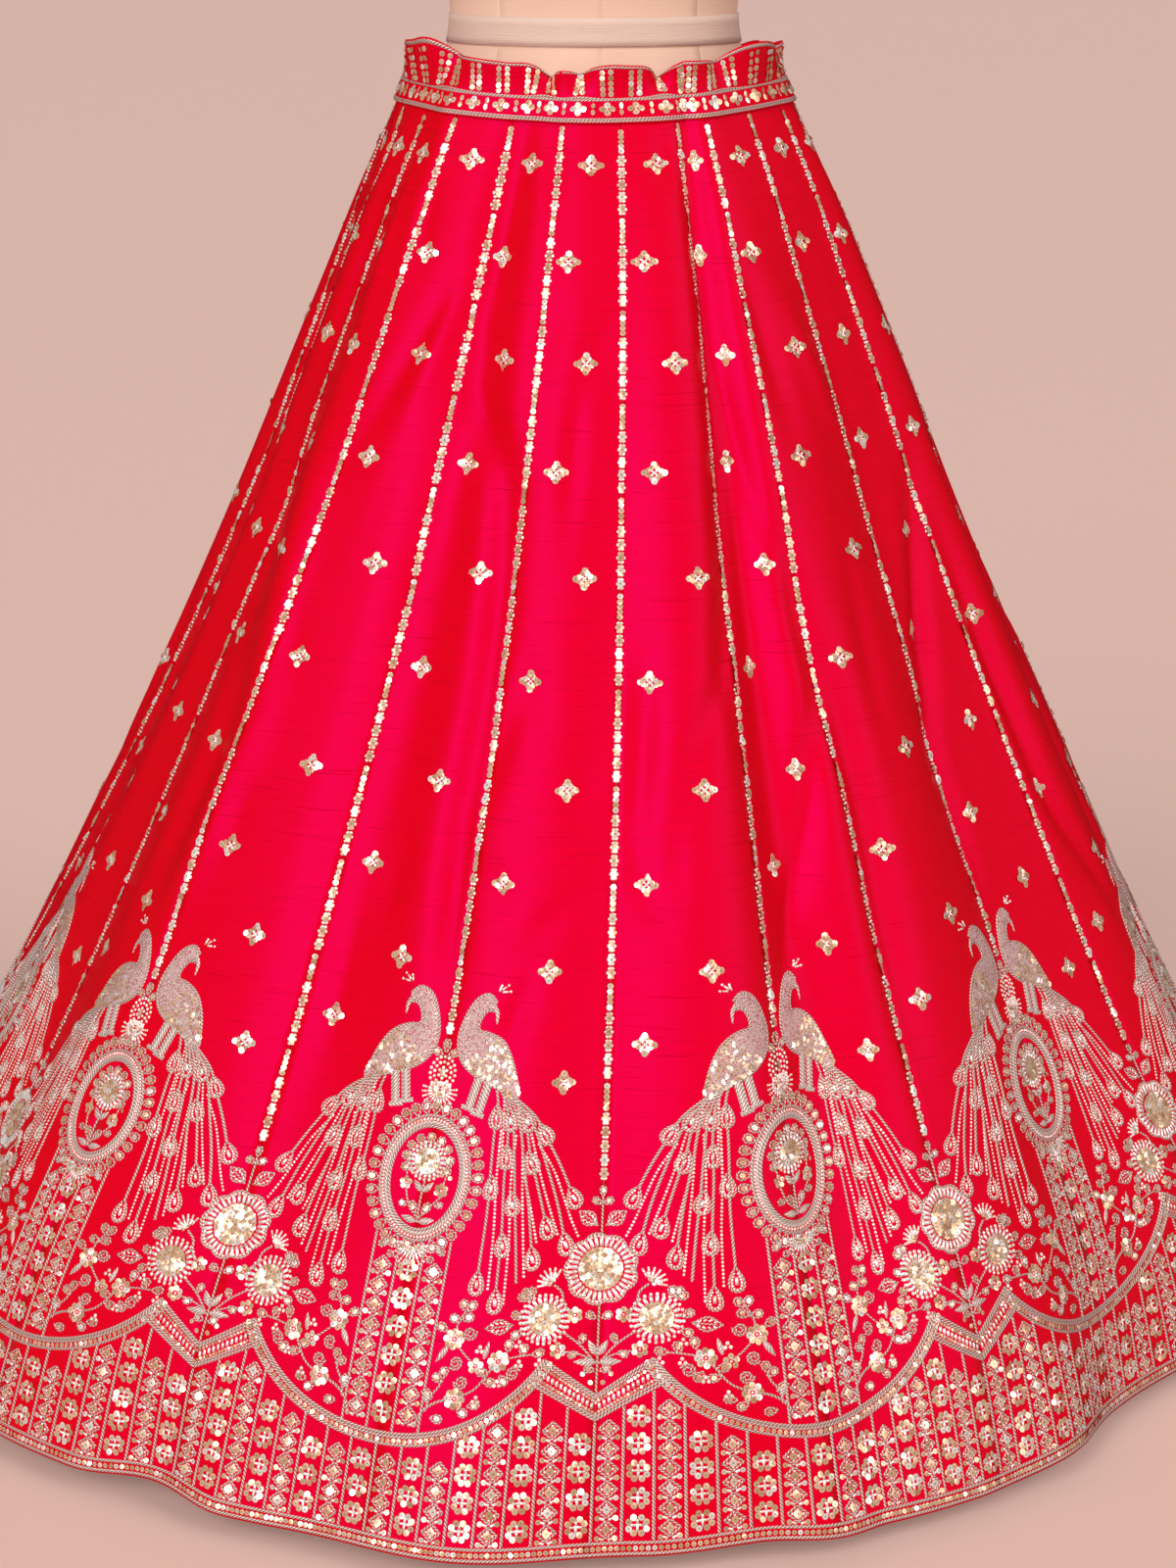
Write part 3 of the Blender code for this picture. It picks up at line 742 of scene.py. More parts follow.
FLOOR_REACH = 90
CAMERA_PLACE = (-0.0046, -2.612, 1.160)
CAMERA_DIP = 16.18
SUNS = (
    # name, spread in degrees, power, tilt, turn
    ("key_light", 34, 1.35, 56, -28),
    ("key_glow", 34, 1.4, 56, -28),
    ("fill_light", 40, 1.2, 55, 58),
    ("back_light", 60, 0.3, 50, 170),
)
SURROUND_COLOUR = (1.0, 0.98, 0.97, 1)
SURROUND_STRENGTH = {"From Min": -1.0, "To Min": 0.34, "To Max": 0.14}


class LehengaLooks(bpy.types.PropertyGroup):
    silk: bpy.props.FloatVectorProperty(
        name="Silk", description="Colour of the silk", subtype="COLOR", default=(0.66, 0.0, 0.003)
    )
    floor: bpy.props.FloatVectorProperty(
        name="Floor",
        description="Colour of the floor",
        subtype="COLOR",
        default=(0.732, 0.477, 0.408),
    )
    lens: bpy.props.FloatProperty(
        name="Lens", description="Focal length of the camera", default=73.66, min=10
    )


class LEHENGA_OT_stage(bpy.types.Operator):
    """Make the camera, the pale floor, the soft studio lights and all finishes"""

    bl_idname = "lehenga.stage"
    bl_label = "Stage"

    def execute(self, context):
        scene = context.scene
        scene.view_settings.view_transform = "Standard"
        make_finishes()
        lens = bpy.data.cameras.new("camera")
        lens.lens, lens.sensor_width = scene.lehenga_looks.lens, 36
        camera = bpy.data.objects.new("camera", lens)
        camera.location = CAMERA_PLACE
        camera.rotation_euler = (math.radians(90 - CAMERA_DIP), 0, 0)
        scene.collection.objects.link(camera)
        scene.camera = camera
        mesh = bpy.data.meshes.new("floor")
        low, high = -FLOOR_REACH, FLOOR_REACH
        corners = [(low, low, 0), (high, low, 0), (high, high, 0), (low, high, 0)]
        mesh.from_pydata(corners, [], [(0, 1, 2, 3)])
        mesh.materials.append(bpy.data.materials["pale_floor"])
        floor = bpy.data.objects.new("floor", mesh)
        scene.collection.objects.link(floor)
        # The silk's slanting edges would otherwise mirror the bright floor and look washed out
        floor.visible_glossy = False
        for name, spread, power, tilt, turn in SUNS:
            light = bpy.data.lights.new(name, "SUN")
            light.energy, light.angle = power, math.radians(spread)
            # Half of the key casts no shadow, so that the floor stays as even as a paper backdrop
            light.use_shadow = name != "key_glow"
            lamp = bpy.data.objects.new(name, light)
            # The back light puts no shine on the edges that the camera sees
            lamp.visible_glossy = name != "back_light"
            lamp.rotation_euler = (math.radians(tilt), 0, math.radians(turn))
            scene.collection.objects.link(lamp)
        world = bpy.data.worlds.new("soft_surround")
        scene.world = world
        world.use_nodes = True
        tree = world.node_tree
        background = tree.nodes["Background"].inputs
        background["Color"].default_value = SURROUND_COLOUR
        # Brighter in front of the skirt than behind it
        around = add_node(tree, "TexCoord").outputs["Generated"]
        front = add_node(tree, "SeparateXYZ", {0: around}).outputs["Y"]
        strength = add_node(tree, "MapRange", {"Value": front, **SURROUND_STRENGTH})
        tree.links.new(strength.outputs["Result"], background["Strength"])
        # The surround lights the cloth but isn't mirrored in it, so the red stays deep at the edges
        world.cycles_visibility.glossy = False
        return {"FINISHED"}


PANEL_COLUMNS = 18
PANEL_ROWS = 91
SEAM_GAP_RISE = 0.5


def panels_area(rows):
    """The area of one panel between the first and the last of its rows."""
    return float(np.trapz(panel_width(rows), rows))


class LEHENGA_OT_silk_panels(bpy.types.Operator):
    """Make the 24 flared silk panels"""

    bl_idname = "lehenga.silk_panels"
    bl_label = "Silk Panels"

    def execute(self, context):
        rows = np.linspace(0, PANEL_LENGTH, PANEL_ROWS)
        edge = GAP / 2 / panel_width(SEAM_GAP_RISE)
        flat = (float(panel_width(0)), PANEL_LENGTH)
        for number in range(PANELS):
            columns = np.linspace(number + edge, number + 1 - edge, PANEL_COLUMNS)
            points, faces, places = shell(columns, rows, skirt_point, WALL)
            places = in_metres(places)
            name = f"silk_panel_{number + 1:02d}"
            piece = make_piece(name, points, faces, places, "slubbed_crimson_silk", "crimson_silk")
            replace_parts(piece, f"panel_{number + 1:02d}")
            panels_area(rows)
        return {"FINISHED"}


# The lining lies against the silk at the hem and the waist, and hangs a little inside it between
LINING_WALL = 0.0008
LINING_OFF = 0.0006
LINING_LOOSE = 0.013
LINING_CLOSE_RISE, LINING_EASES_UP, LINING_EASES_DOWN = 0.10, 0.20, 0.12
LINING_FOOT = 0.004
LINING_TOP = PANEL_LENGTH * 0.98
LINING_END = 0.003
LINING_ROWS, LINING_COLUMNS = 34, 145


class LEHENGA_OT_lining(bpy.types.Operator):
    """Make the lining, which hangs inside the silk from waist to hem"""

    bl_idname = "lehenga.lining"
    bl_label = "Lining"

    def execute(self, context):
        def surface(seam, rise):
            points, _, _, out = laid_on(skirt_point, seam, rise)
            low = np.clip((rise - LINING_CLOSE_RISE) / LINING_EASES_UP, 0, 1)
            high = np.clip((PANEL_LENGTH - rise) / LINING_EASES_DOWN, 0, 1)
            off = WALL / 2 + GAP + LINING_OFF + LINING_LOOSE * low * high
            return (points - out * off[:, None]).T

        rows = np.linspace(LINING_FOOT, LINING_TOP, LINING_ROWS)
        half_way_round = PANELS / 2 - LINING_END
        columns = np.linspace(-half_way_round, half_way_round, LINING_COLUMNS)
        points, faces, places = shell(columns, rows, surface, LINING_WALL)
        places = in_metres(places)
        piece = make_piece(
            "lining_cloth", points, faces, places, "lilac_lining_cloth", "lilac_lining"
        )
        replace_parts(piece, "hem_lining")
        flat = (float(panel_width(0)) * PANELS, LINING_TOP)
        area = panels_area(rows) * PANELS
        return {"FINISHED"}


BAND_COLUMNS, BAND_ROWS = 481, 15
BAND_FLAT_PANEL = 0.042


class LEHENGA_OT_waistband(bpy.types.Operator):
    """Make the gathered waistband with its ruffled heading"""

    bl_idname = "lehenga.waistband"
    bl_label = "Waistband"

    def execute(self, context):
        def surface(seam, share):
            points, _, _, out = laid_on(band_point, seam, share)
            return (points + out * BAND_OUT).T

        columns = np.linspace(*BAND_ENDS, BAND_COLUMNS)
        rows = np.linspace(0, 1, BAND_ROWS)
        points, faces, places = shell(columns, rows, surface, WALL, clear_of_form)
        places = places * (BAND_FLAT_PANEL, BAND_HEIGHT)
        piece = make_piece(
            "waistband_silk", points, faces, places, "slubbed_crimson_silk", "crimson_silk"
        )
        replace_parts(piece, "waistband")
        return {"FINISHED"}


NECK = FORM_SECTIONS[-1][0] + GAP
FOOT = FORM_SECTIONS[0][0] - GAP
TURNED_PIECES = (
    # piece, its solid, finish, slot, sides, and (radius, height) up its side
    (
        "turned_neck_cap", "neck_cap", "turned_beech", "turned_wood", 64,
        (
            (0.054, NECK), (0.057, NECK + 0.003), (0.057, NECK + 0.010), (0.053, NECK + 0.016),
            (0.045, NECK + 0.020), (0.030, NECK + 0.0215), (0.010, NECK + 0.022),
        ),
    ),
    (
        "turned_pole_socket", "pole_socket", "turned_beech", "turned_wood", 64,
        ((0.027, FOOT - 0.018), (0.045, FOOT - 0.006), (0.045, FOOT - 0.0005), (0.044, FOOT)),
    ),
    (
        "stand_pole_tube", "stand_pole", "brushed_pole_steel", "brushed_steel", 64,
        ((0.016, 0.0403), (0.016, FOOT - 0.0183)),
    ),
    (
        "stand_base_plate", "stand_base", "black_base_enamel", "painted_iron", 96,
        (
            (0.200, 0.0), (0.200, 0.006), (0.1985, 0.009), (0.196, 0.010), (0.064, 0.014),
            (0.050, 0.0165), (0.044, 0.020), (0.034, 0.036), (0.0315, 0.039), (0.027, 0.040),
            (0.018, 0.040),
        ),
    ),
)
FORM_ROWS = 56
FORM_STEP = 5.0
FORM_FLAT_ROUND = 0.8
SEAM_GROOVE, SEAM_GROOVE_REACH = 0.008, 0.45
TAPE_WALL, TAPE_LIFT = 0.001, 0.0008
TAPE_ENDS = (180.4, 539.6)
TAPE_COLUMNS, TAPE_ROWS = 121, 5
TAPE_ROUND = 0.65


def turned_piece(name, outline, finish, slot, sides):
    """A turned piece. The outline runs up its side as (radius, height)."""
    radius, height = np.array(outline, float).T
    angles = np.linspace(0, 2 * math.pi, sides, endpoint=False)
    rings = np.outer(radius, np.cos(angles)), np.outer(radius, np.sin(angles))
    points = np.stack([*rings, np.outer(height, np.ones(sides))], axis=-1).reshape(-1, 3)
    corner = np.arange(len(points)).reshape(-1, sides)
    ends = [corner[0, ::-1].tolist(), corner[-1].tolist()]
    faces = grid_quads(np.column_stack([corner, corner[:, 0]])).tolist() + ends
    places = pairs(np.tile(angles * max(radius), len(radius)), np.repeat(height, sides))
    return make_piece(name, points, faces, places, finish, slot)


class LEHENGA_OT_dress_form(bpy.types.Operator):
    """Make the linen dress form, its waist tape, neck cap and stand"""

    bl_idname = "lehenga.dress_form"
    bl_label = "Dress Form"

    def execute(self, context):
        heights = np.linspace(FORM_SECTIONS[0][0], FORM_SECTIONS[-1][0], FORM_ROWS)
        # Two extra columns beside each seam let it be a narrow groove
        beside_seams = [FORM_SEAMS + off for off in (-SEAM_GROOVE_REACH, 0, SEAM_GROOVE_REACH)]
        azimuths = np.sort(np.concatenate([np.arange(-180, 181, FORM_STEP), *beside_seams]))
        high, around = (grid.ravel() for grid in np.meshgrid(heights, azimuths, indexing="ij"))
        x, y, z = form_point(around, high)
        groove = 1 - SEAM_GROOVE * np.isin(around, FORM_SEAMS)
        x = np.where(high > ARM_PLANE_FOOT, np.clip(x, -ARM_PLANE, ARM_PLANE), x) * groove
        points = np.stack([x, y * groove, z], axis=1)
        corner = np.arange(len(x)).reshape(FORM_ROWS, -1)
        ends = [corner[0][:0:-1].tolist(), corner[-1][1:].tolist()]
        faces = grid_quads(corner).tolist() + ends
        places = pairs(around / 360 * FORM_FLAT_ROUND, high)
        body = make_piece("dress_form_body", points, faces, places, "form_linen", "form_canvas")
        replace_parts(body, "form_torso")
        columns = np.linspace(*TAPE_ENDS, TAPE_COLUMNS)
        rows = TAPE_MIDDLE + np.linspace(-0.5, 0.5, TAPE_ROWS) * TAPE_HEIGHT
        points, faces, places = shell(columns, rows, form_point, TAPE_WALL)
        lift = TAPE_LIFT / np.hypot(points[:, 0], points[:, 1])
        points[:, :2] *= (1 + lift)[:, None]
        places = pairs(places[:, 0] / 360 * TAPE_ROUND, places[:, 1])
        tape = make_piece(
            "waist_tape_ribbon", points, faces, places, "form_tape_ribbon", "form_ribbon"
        )
        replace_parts(tape, "form_waist_tape")
        for name, solid, finish, slot, sides, outline in TURNED_PIECES:
            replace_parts(turned_piece(name, outline, finish, slot, sides), solid)
        return {"FINISHED"}


# Sewing. A design is drawn in centimetres and sewn at places on the cloth

CM = 0.01



def domed(sides, height):
    """A raised middle and the ring round it: its points and triangles."""
    ring = [(math.cos(a), math.sin(a), 0) for a in np.arange(sides) * 2 * math.pi / sides]
    return [(0, 0, height), *ring], [(0, 1 + k, 1 + (k + 1) % sides) for k in range(sides)]


SEWN_SHAPES = {
    # points of one piece in half lengths, half widths and heights, and its triangles
    "sequin": domed(8, 0.10),
    "bead": domed(6, 1),
    "bugle": (
        [
            (0.7, 0, 1), (-0.7, 0, 1), (1, 0, 0), (0.8, 1, 0),
            (-0.8, 1, 0), (-1, 0, 0), (-0.8, -1, 0), (0.8, -1, 0),
        ],
        [(0, 2, 3), (0, 3, 4), (0, 4, 1), (1, 4, 5), (1, 5, 6), (1, 6, 7), (1, 7, 0), (0, 7, 2)],
    ),
}
STRIP_PROFILE = ((-1.0, -0.1), (-0.55, 0.8), (0.55, 0.8), (1.0, -0.1))
STRIP_RISE = {"cord": 0.95, "satin": 0.5}
FILL_PROFILE = (
    (0, -0.01), (0.05, 0.06), (0.28, 0.08), (0.5, 0.085), (0.72, 0.08), (0.95, 0.06), (1, -0.01),
)
SEWN_FINISHES = {
    "cord": "twisted_metal_cord",
    "satin": "satin_stitch_metal",
    "seeded": "seed_stitch_metal",
    "sequin": "gilt_sequin",
    "bead": "pearl_seed_bead",
    "bugle": "silver_bugle_bead",
}


def length_along(points):
    """The distance of each point of a line from its start."""
    return np.concatenate([[0], np.cumsum(np.hypot(*np.diff(points, axis=0).T))])


def along(points, step=0.3):
    """The same line with its points evenly spaced."""
    points = np.asarray(points, float)
    run = length_along(points)
    at = np.linspace(0, run[-1], max(2, round(run[-1] / step) + 1))
    return np.stack([np.interp(at, run, row) for row in points.T], axis=1)


def curve(*points, step=0.3):
    """A smooth line through a few points."""
    points = np.asarray(points, float)
    run = length_along(points)
    at = np.linspace(0, run[-1], 12 * len(points))
    return along(np.stack([smooth_between(at, run, row) for row in points.T], axis=1), step)


def on_oval(angles, wide, tall, u=0.0, v=0.0):
    return pairs(u + wide * np.cos(angles), v + tall * np.sin(angles))


def oval(wide, tall, v=0.0, start=90, sweep=360):
    angles = np.radians(start + np.linspace(0, sweep, 90))
    return along(on_oval(angles, wide, tall, v=v), 0.28)


def round_places(count, wide, tall=None, u=0.0, v=0.0, start=90.0, sweep=360.0):
    """Points spread round an oval, and the degrees each one faces."""
    turns = start + np.arange(count) * sweep / count
    tall = wide if tall is None else tall
    return on_oval(np.radians(turns), wide, tall, u, v), turns


def direction(degrees):
    return np.array([math.cos(math.radians(degrees)), math.sin(math.radians(degrees))])


def beside(points, off):
    """A line moved to its left by a distance."""
    points = np.asarray(points, float)
    ahead = np.gradient(points, axis=0)
    ahead /= np.linalg.norm(ahead, axis=1)[:, None]
    return points + off * pairs(-ahead[:, 1], ahead[:, 0])


class Design:
    """Raised strips and sewn pieces, in centimetres round one point of the cloth.

    A strip is rows of (u, v, height) across it, from one end to the other.
    """

    def __init__(self):
        self.strips = []
        self.sewn = []

    def lay(self, kind, lines):
        """A strip of lines that lie side by side, each as points and their heights."""
        self.strips.append((kind, np.stack([np.column_stack(line) for line in lines], axis=1)))
        return self

    def strip(self, kind, points, half):
        """A strip along a line: a cord, or a leaf of changing half width."""
        points = np.asarray(points, float)
        half = np.broadcast_to(half, len(points)).astype(float)
        edge = beside(points, 1.0) - points
        return self.lay(
            kind,
            (
                (points - edge * (x * half)[:, None], z * half * STRIP_RISE[kind])
                for x, z in STRIP_PROFILE
            ),
        )

    def fill(self, kind, left, right):
        """A low filled shape between two lines that have the same number of points."""
        across = right - left
        return self.lay(kind, ((left + across * x, np.full(len(left), z)) for x, z in FILL_PROFILE))

    def cord(self, points, half=0.1):
        return self.strip("cord", points, half)

    def sew(self, kind, points, turn=0.0, long=0.2, wide=None):
        points = np.atleast_2d(np.asarray(points, float))
        wide = long if wide is None else wide
        rows = np.broadcast_arrays(points[:, 0], points[:, 1], np.radians(turn), long, wide)
        self.sewn.append((kind, np.stack(rows, axis=1).astype(float)))
        return self

    def row(self, kind, line, long, wide=None, *, pitch, turn=0):
        """Pieces spaced along a line, lying along it or turned from it."""
        points = along(line, pitch)
        ahead = np.gradient(points, axis=0)
        facing = np.degrees(np.arctan2(ahead[:, 1], ahead[:, 0])) + turn
        return self.sew(kind, points, facing, long, wide)

    def put(self, other, u=0.0, v=0.0, turn=0.0, flip=False):
        """Another design laid into this one."""
        angle = math.radians(turn)
        side = -1 if flip else 1

        def moved(points):
            x, y = points[:, 0] * side, points[:, 1]
            first = u + x * math.cos(angle) - y * math.sin(angle)
            return pairs(first, v + x * math.sin(angle) + y * math.cos(angle))

        for kind, rows in other.strips:
            flat = rows.reshape(-1, 3)
            flat = np.column_stack([moved(flat), flat[:, 2]]).reshape(rows.shape)
            self.strips.append((kind, flat[:, ::-1] if flip else flat))
        for kind, rows in other.sewn:
            turns = rows[:, 2] * side + angle
            self.sewn.append((kind, np.column_stack([moved(rows), turns, rows[:, 3:]])))
        return self

    def both(self, other, u, v, turn=0.0):
        """A design and its mirror image on the two sides."""
        return self.put(other, u, v, turn).put(other, -u, v, -turn, flip=True)


def skirt_spot(u, v, seam, rise):
    """Centimetres round a place on the skirt, at the cloth's width there."""
    rise = rise + v * CM
    return seam + u * CM / panel_width(rise), rise


BORDER_PANEL = float(panel_width(0.11))
BAND_PANEL = float(panel_width(PANEL_LENGTH))


def border_spot(u, v, seam, rise):
    """Centimetres at the border's height, so that its columns fan out with the panels."""
    return seam + u * CM / BORDER_PANEL, rise + v * CM


def band_spot(u, v, seam, share):
    return seam + u * CM / BAND_PANEL, share + v * CM / BAND_HEIGHT


def on_skirt(first, second):
    points, across, up, out = laid_on(skirt_point, first, second)
    return points + out * (WALL / 2), across, up, out


def on_band(first, second):
    points, across, up, out = laid_on(band_point, first, second)
    return clear_of_form(points + out * (BAND_OUT + WALL / 2), WALL), across, up, out


SEQUIN_TILT, MOST_TILT = 0.16, 0.3
SEQUIN_LIFT = 0.0004
BEAD_RISE = 0.9
SHADES = 64
UV_HALF = 0.45


def strip_mesh(lines, side, laid):
    """Points, faces and places of one kind of strip at every anchor. It has its rows in order."""
    width, copies = lines[0].shape[1], len(side)
    u, v, height = np.concatenate(lines).reshape(-1, 3).T
    number = np.repeat(np.arange(len(lines)), [len(rows) for rows in lines])
    points, _, _, out = laid(u, v)
    points = points + out * (np.tile(height, copies) * CM)[:, None]
    # The rows that have a next row in the same strip
    here = np.flatnonzero(np.tile(np.append(number[1:] == number[:-1], False), copies))
    rows = points.reshape(-1, width, 3)
    middle = rows.mean(axis=1)
    step = np.zeros(len(middle))
    step[here] = np.linalg.norm(middle[here + 1] - middle[here], axis=1)
    run = np.repeat(np.concatenate([[0], np.cumsum(step)[:-1]]), width)
    over = np.linalg.norm(np.diff(rows, axis=1), axis=2).cumsum(axis=1)
    over = np.concatenate([np.zeros((len(over), 1)), over], axis=1).ravel()
    low = (here * width)[:, None] + np.arange(width - 1)
    quads = np.stack([low, low + 1, low + width + 1, low + width], axis=-1)
    mirrored = np.repeat(side.ravel() < 0, len(number))[here]
    quads[mirrored] = quads[mirrored][..., ::-1]
    return points, quads.reshape(-1, 4), pairs(run, over)


def sewn_mesh(kind, rows, side, laid, shade):
    """Points, faces and places of one kind of sewn piece at every anchor."""
    u, v, turn, long, wide = rows.T
    points, across, up, out = laid(u, v)
    total = len(points)
    turn = (turn * side).ravel()
    long, wide = (np.tile(size, len(side))[:, None] * CM for size in (long, wide))
    lengthways = across * np.cos(turn)[:, None] + up * np.sin(turn)[:, None]
    crossways = np.cross(out, lengthways)
    if kind == "sequin":
        tilt = shade.normal(0, SEQUIN_TILT, (2, total, 1)).clip(-MOST_TILT, MOST_TILT)
        points = points + out * (SEQUIN_LIFT + 0.5 * long * abs(tilt).max(0))
        lengthways = lengthways + out * tilt[0]
        crossways = crossways + out * tilt[1]
    shape, triangles = SEWN_SHAPES[kind]
    x, y, z = np.array(shape, float).T
    tall = long if kind == "sequin" else wide * BEAD_RISE
    body = (
        points[:, None]
        + (lengthways * long)[:, None] * x[:, None]
        + (crossways * wide)[:, None] * y[:, None]
        + (out * tall)[:, None] * z[:, None]
    )
    triangles = np.array(triangles) + np.arange(total)[:, None, None] * len(shape)
    # The whole part of the first place is the piece's own number for its tone, among which are
    # painted glints and painted dull reflections
    tone = shade.integers(0, SHADES, total)[:, None]
    places = np.stack([tone + 0.5 + UV_HALF * x, 0.5 + UV_HALF * y + 0 * tone], axis=-1)
    return body.reshape(-1, 3), triangles.reshape(-1, 3), places.reshape(-1, 2)


def sew_on(name, design, anchors, spot=skirt_spot, ground=on_skirt, seed=1):
    """Sews a design at every anchor (first, second, side) and joins it by kind into pieces."""
    anchors = np.asarray(anchors, float)
    first, second, side = (row[:, None] for row in anchors.T)
    shade = np.random.default_rng(seed)

    def laid(u, v):
        return ground(*(row.ravel() for row in spot(u * side, v, first, second)))

    made = []
    for kind in sorted({kind for kind, _ in design.strips}):
        lines = [rows for other, rows in design.strips if other == kind]
        parts = strip_mesh(lines, side, laid)
        made.append(make_piece(f"{name}_{kind}", *parts, SEWN_FINISHES[kind], "zari_braid"))
    for kind in sorted({kind for kind, _ in design.sewn}):
        rows = np.concatenate([rows for other, rows in design.sewn if other == kind])
        parts = sewn_mesh(kind, rows, side, laid, shade)
        made.append(make_piece(f"{name}_{kind}s", *parts, SEWN_FINISHES[kind], "zari_braid"))
    return made


def every(seams, rise, side=1):
    return [(seam, rise, side) for seam in seams]


EVEN_SEAMS = range(-PANELS // 2, PANELS // 2, 2)
ODD_SEAMS = range(1 - PANELS // 2, PANELS // 2, 2)


# Small motifs


def sequin_flower(petals=5, reach=0.36, size=0.22):
    flower = Design()
    places, turns = round_places(petals, reach)
    flower.sew("sequin", places, turns, size)
    return flower.sew("bead", (0, 0), 0, 0.1)


def loop_petal(tall=0.85, wide=0.62):
    """A looped cord with a sequin in it, from its root upwards."""
    turn = np.linspace(0, 2 * math.pi, 26)
    edge = pairs(wide * 0.62 * np.sin(turn) * np.sin(turn / 2), tall * (1 - np.cos(turn)) / 2)
    petal = Design().cord(along(edge, 0.25), 0.075)
    return petal.sew("sequin", (0, tall * 0.6), 90, tall * 0.27, wide * 0.3)


def satin_leaf(tall=1.0, wide=0.34, bend=0.0):
    spine = curve((0, 0), (bend, tall * 0.5), (bend * 0.4, tall), step=0.14)
    share = np.linspace(0, 1, len(spine))
    return Design().strip("satin", spine, wide / 2 * (0.15 + np.sin(math.pi * share**0.8)))


def curl(turns=1.4, reach=0.5):
    angles = np.linspace(-0.5, turns, 40) * 2 * math.pi
    radius = reach * (1 - np.linspace(0, 0.78, 40))
    return Design().cord(along(on_oval(angles, radius, radius), 0.2), 0.08)


def beaded_leaf(tall=1.6, wide=1.0):
    """An outlined leaf filled with slanting beads on its two halves."""
    right = curve((0, 0), (wide / 2, tall * 0.45), (0, tall), step=0.2)
    leaf = Design().cord(right, 0.07).cord(right * (-1, 1), 0.07)
    for share in np.linspace(0.2, 0.75, 4):
        reach = wide * 0.27 * math.sin(math.pi * share)
        places = (reach, tall * share), (-reach, tall * share)
        leaf.sew("bugle", places, (55, -55), 0.15, 0.07)
    return leaf.cord(((0, -0.1), (0, tall * 0.8)), 0.06)


def buti():
    """The small scattered flower: four sequins, small ones between them, and a bead cross."""
    flower = Design()
    flower.sew("sequin", round_places(4, 0.64)[0], 0, 0.25)
    flower.sew("sequin", round_places(8, 0.44, start=22.5)[0], 0, 0.2)
    places, turns = round_places(4, 0.22, start=45)
    flower.sew("bugle", places, turns, 0.19, 0.09)
    return flower.sew("bead", (0, 0), 0, 0.13)


BUTI_PLACES = (
    # share of the panel, rise
    (0.52, 1.022),
    (0.27, 0.945),
    (0.56, 0.866),
    (0.31, 0.783),
    (0.66, 0.703),
    (0.25, 0.625),
    (0.62, 0.545),
    (0.22, 0.475),
    (0.60, 0.413),
)
LAST_BUTI = ((0.21, 0.360), (0.74, 0.333))


def seam_line():
    """One length of a seam's line: five oval clusters that touch, then small sequins."""
    line = Design()
    for k in range(5):
        places, turns = round_places(6, 0.23, 0.38, v=0.5 + 0.98 * k, start=60)
        line.sew("bead", places, turns + 90, 0.14, 0.11)
        line.sew("sequin", (0, 0.5 + 0.98 * k), 90, 0.40, 0.25)
    for k in range(5):
        line.sew("sequin", (0, 5.18 + 0.39 * k), 0, 0.23)
    return line


SEAM_UNIT = 0.070
SEAM_LINE_TOP = PANEL_LENGTH * BAND_FOOT_SHARE - 0.002
EVEN_LINE_FOOT, ODD_LINE_FOOT = 0.262, 0.362


# The border


def flower_cell():
    """One flower of a border column: sequins in pairs at four corners, round a bead cross."""
    cell = Design()
    corner = np.array([(0.54, 0.24), (0.24, 0.54)])
    for sides in ((1, 1), (-1, 1), (1, -1), (-1, -1)):
        cell.sew("sequin", corner * sides, 0, 0.24)
    places, turns = round_places(4, 0.26, start=0)
    cell.sew("bugle", places, turns, 0.22, 0.09)
    return cell.sew("bead", (0, 0), 0, 0.13)


def diamond_cell():
    """One diamond of a border column, with a pair of sequins under it."""
    cell = Design()
    corners = ((0.66, 0), (0, 0.6), (-0.66, 0), (0, -0.6), (0.66, 0))
    for side in zip(corners, corners[1:]):
        cell.cord(side, 0.085)
    cell.sew("sequin", (0, 0), 0, 0.31)
    cell.sew("bead", round_places(4, 0.34, 0.31, start=0)[0], 0, 0.1)
    cell.sew("bugle", ((0.28, -0.66), (-0.28, -0.66)), (25, -25), 0.2, 0.09)
    return cell.sew("sequin", ((0.58, -0.58), (-0.58, -0.58)), 0, 0.2)


SCALLOP_LOW = 8.06
SCALLOP_REACH = 11.2
SCALLOP_ROUND = 13.8
V_PEAK = (BORDER_PANEL / CM - SCALLOP_REACH, 13.8)
V_INNER = (0.0, 11.2)
V_OUTER_PEAK = (4.72, 12.3)
V_OUTER = (0.0, 9.5)
COLUMNS = 8


def scallop_height(u):
    """The height of the scallop's top line at a distance from the odd seam."""
    return SCALLOP_LOW + SCALLOP_ROUND - np.sqrt(SCALLOP_ROUND**2 - np.minimum(abs(u), 12.2) ** 2)


def border_top(u):
    """Where the columns end, for a distance from the odd seam."""
    from_even = BORDER_PANEL / CM - abs(u)
    below_v = V_OUTER[1] + (V_OUTER_PEAK[1] - V_OUTER[1]) * from_even / V_OUTER_PEAK[0]
    steep = np.sqrt(1 + (np.minimum(abs(u), 11) / SCALLOP_ROUND) ** 2)
    return np.where(from_even < V_OUTER_PEAK[0], below_v - 0.15, scallop_height(u) - 0.8 * steep)


def scallop():
    band = Design()
    across = np.linspace(-SCALLOP_REACH, SCALLOP_REACH, 120)
    line = along(pairs(across, scallop_height(across)), 0.28)
    band.cord(line, 0.11).cord(beside(line, -0.22), 0.11)
    band.row("sequin", beside(line, -0.5), 0.18, pitch=0.4)
    return band.cord(beside(line, -0.76), 0.11)


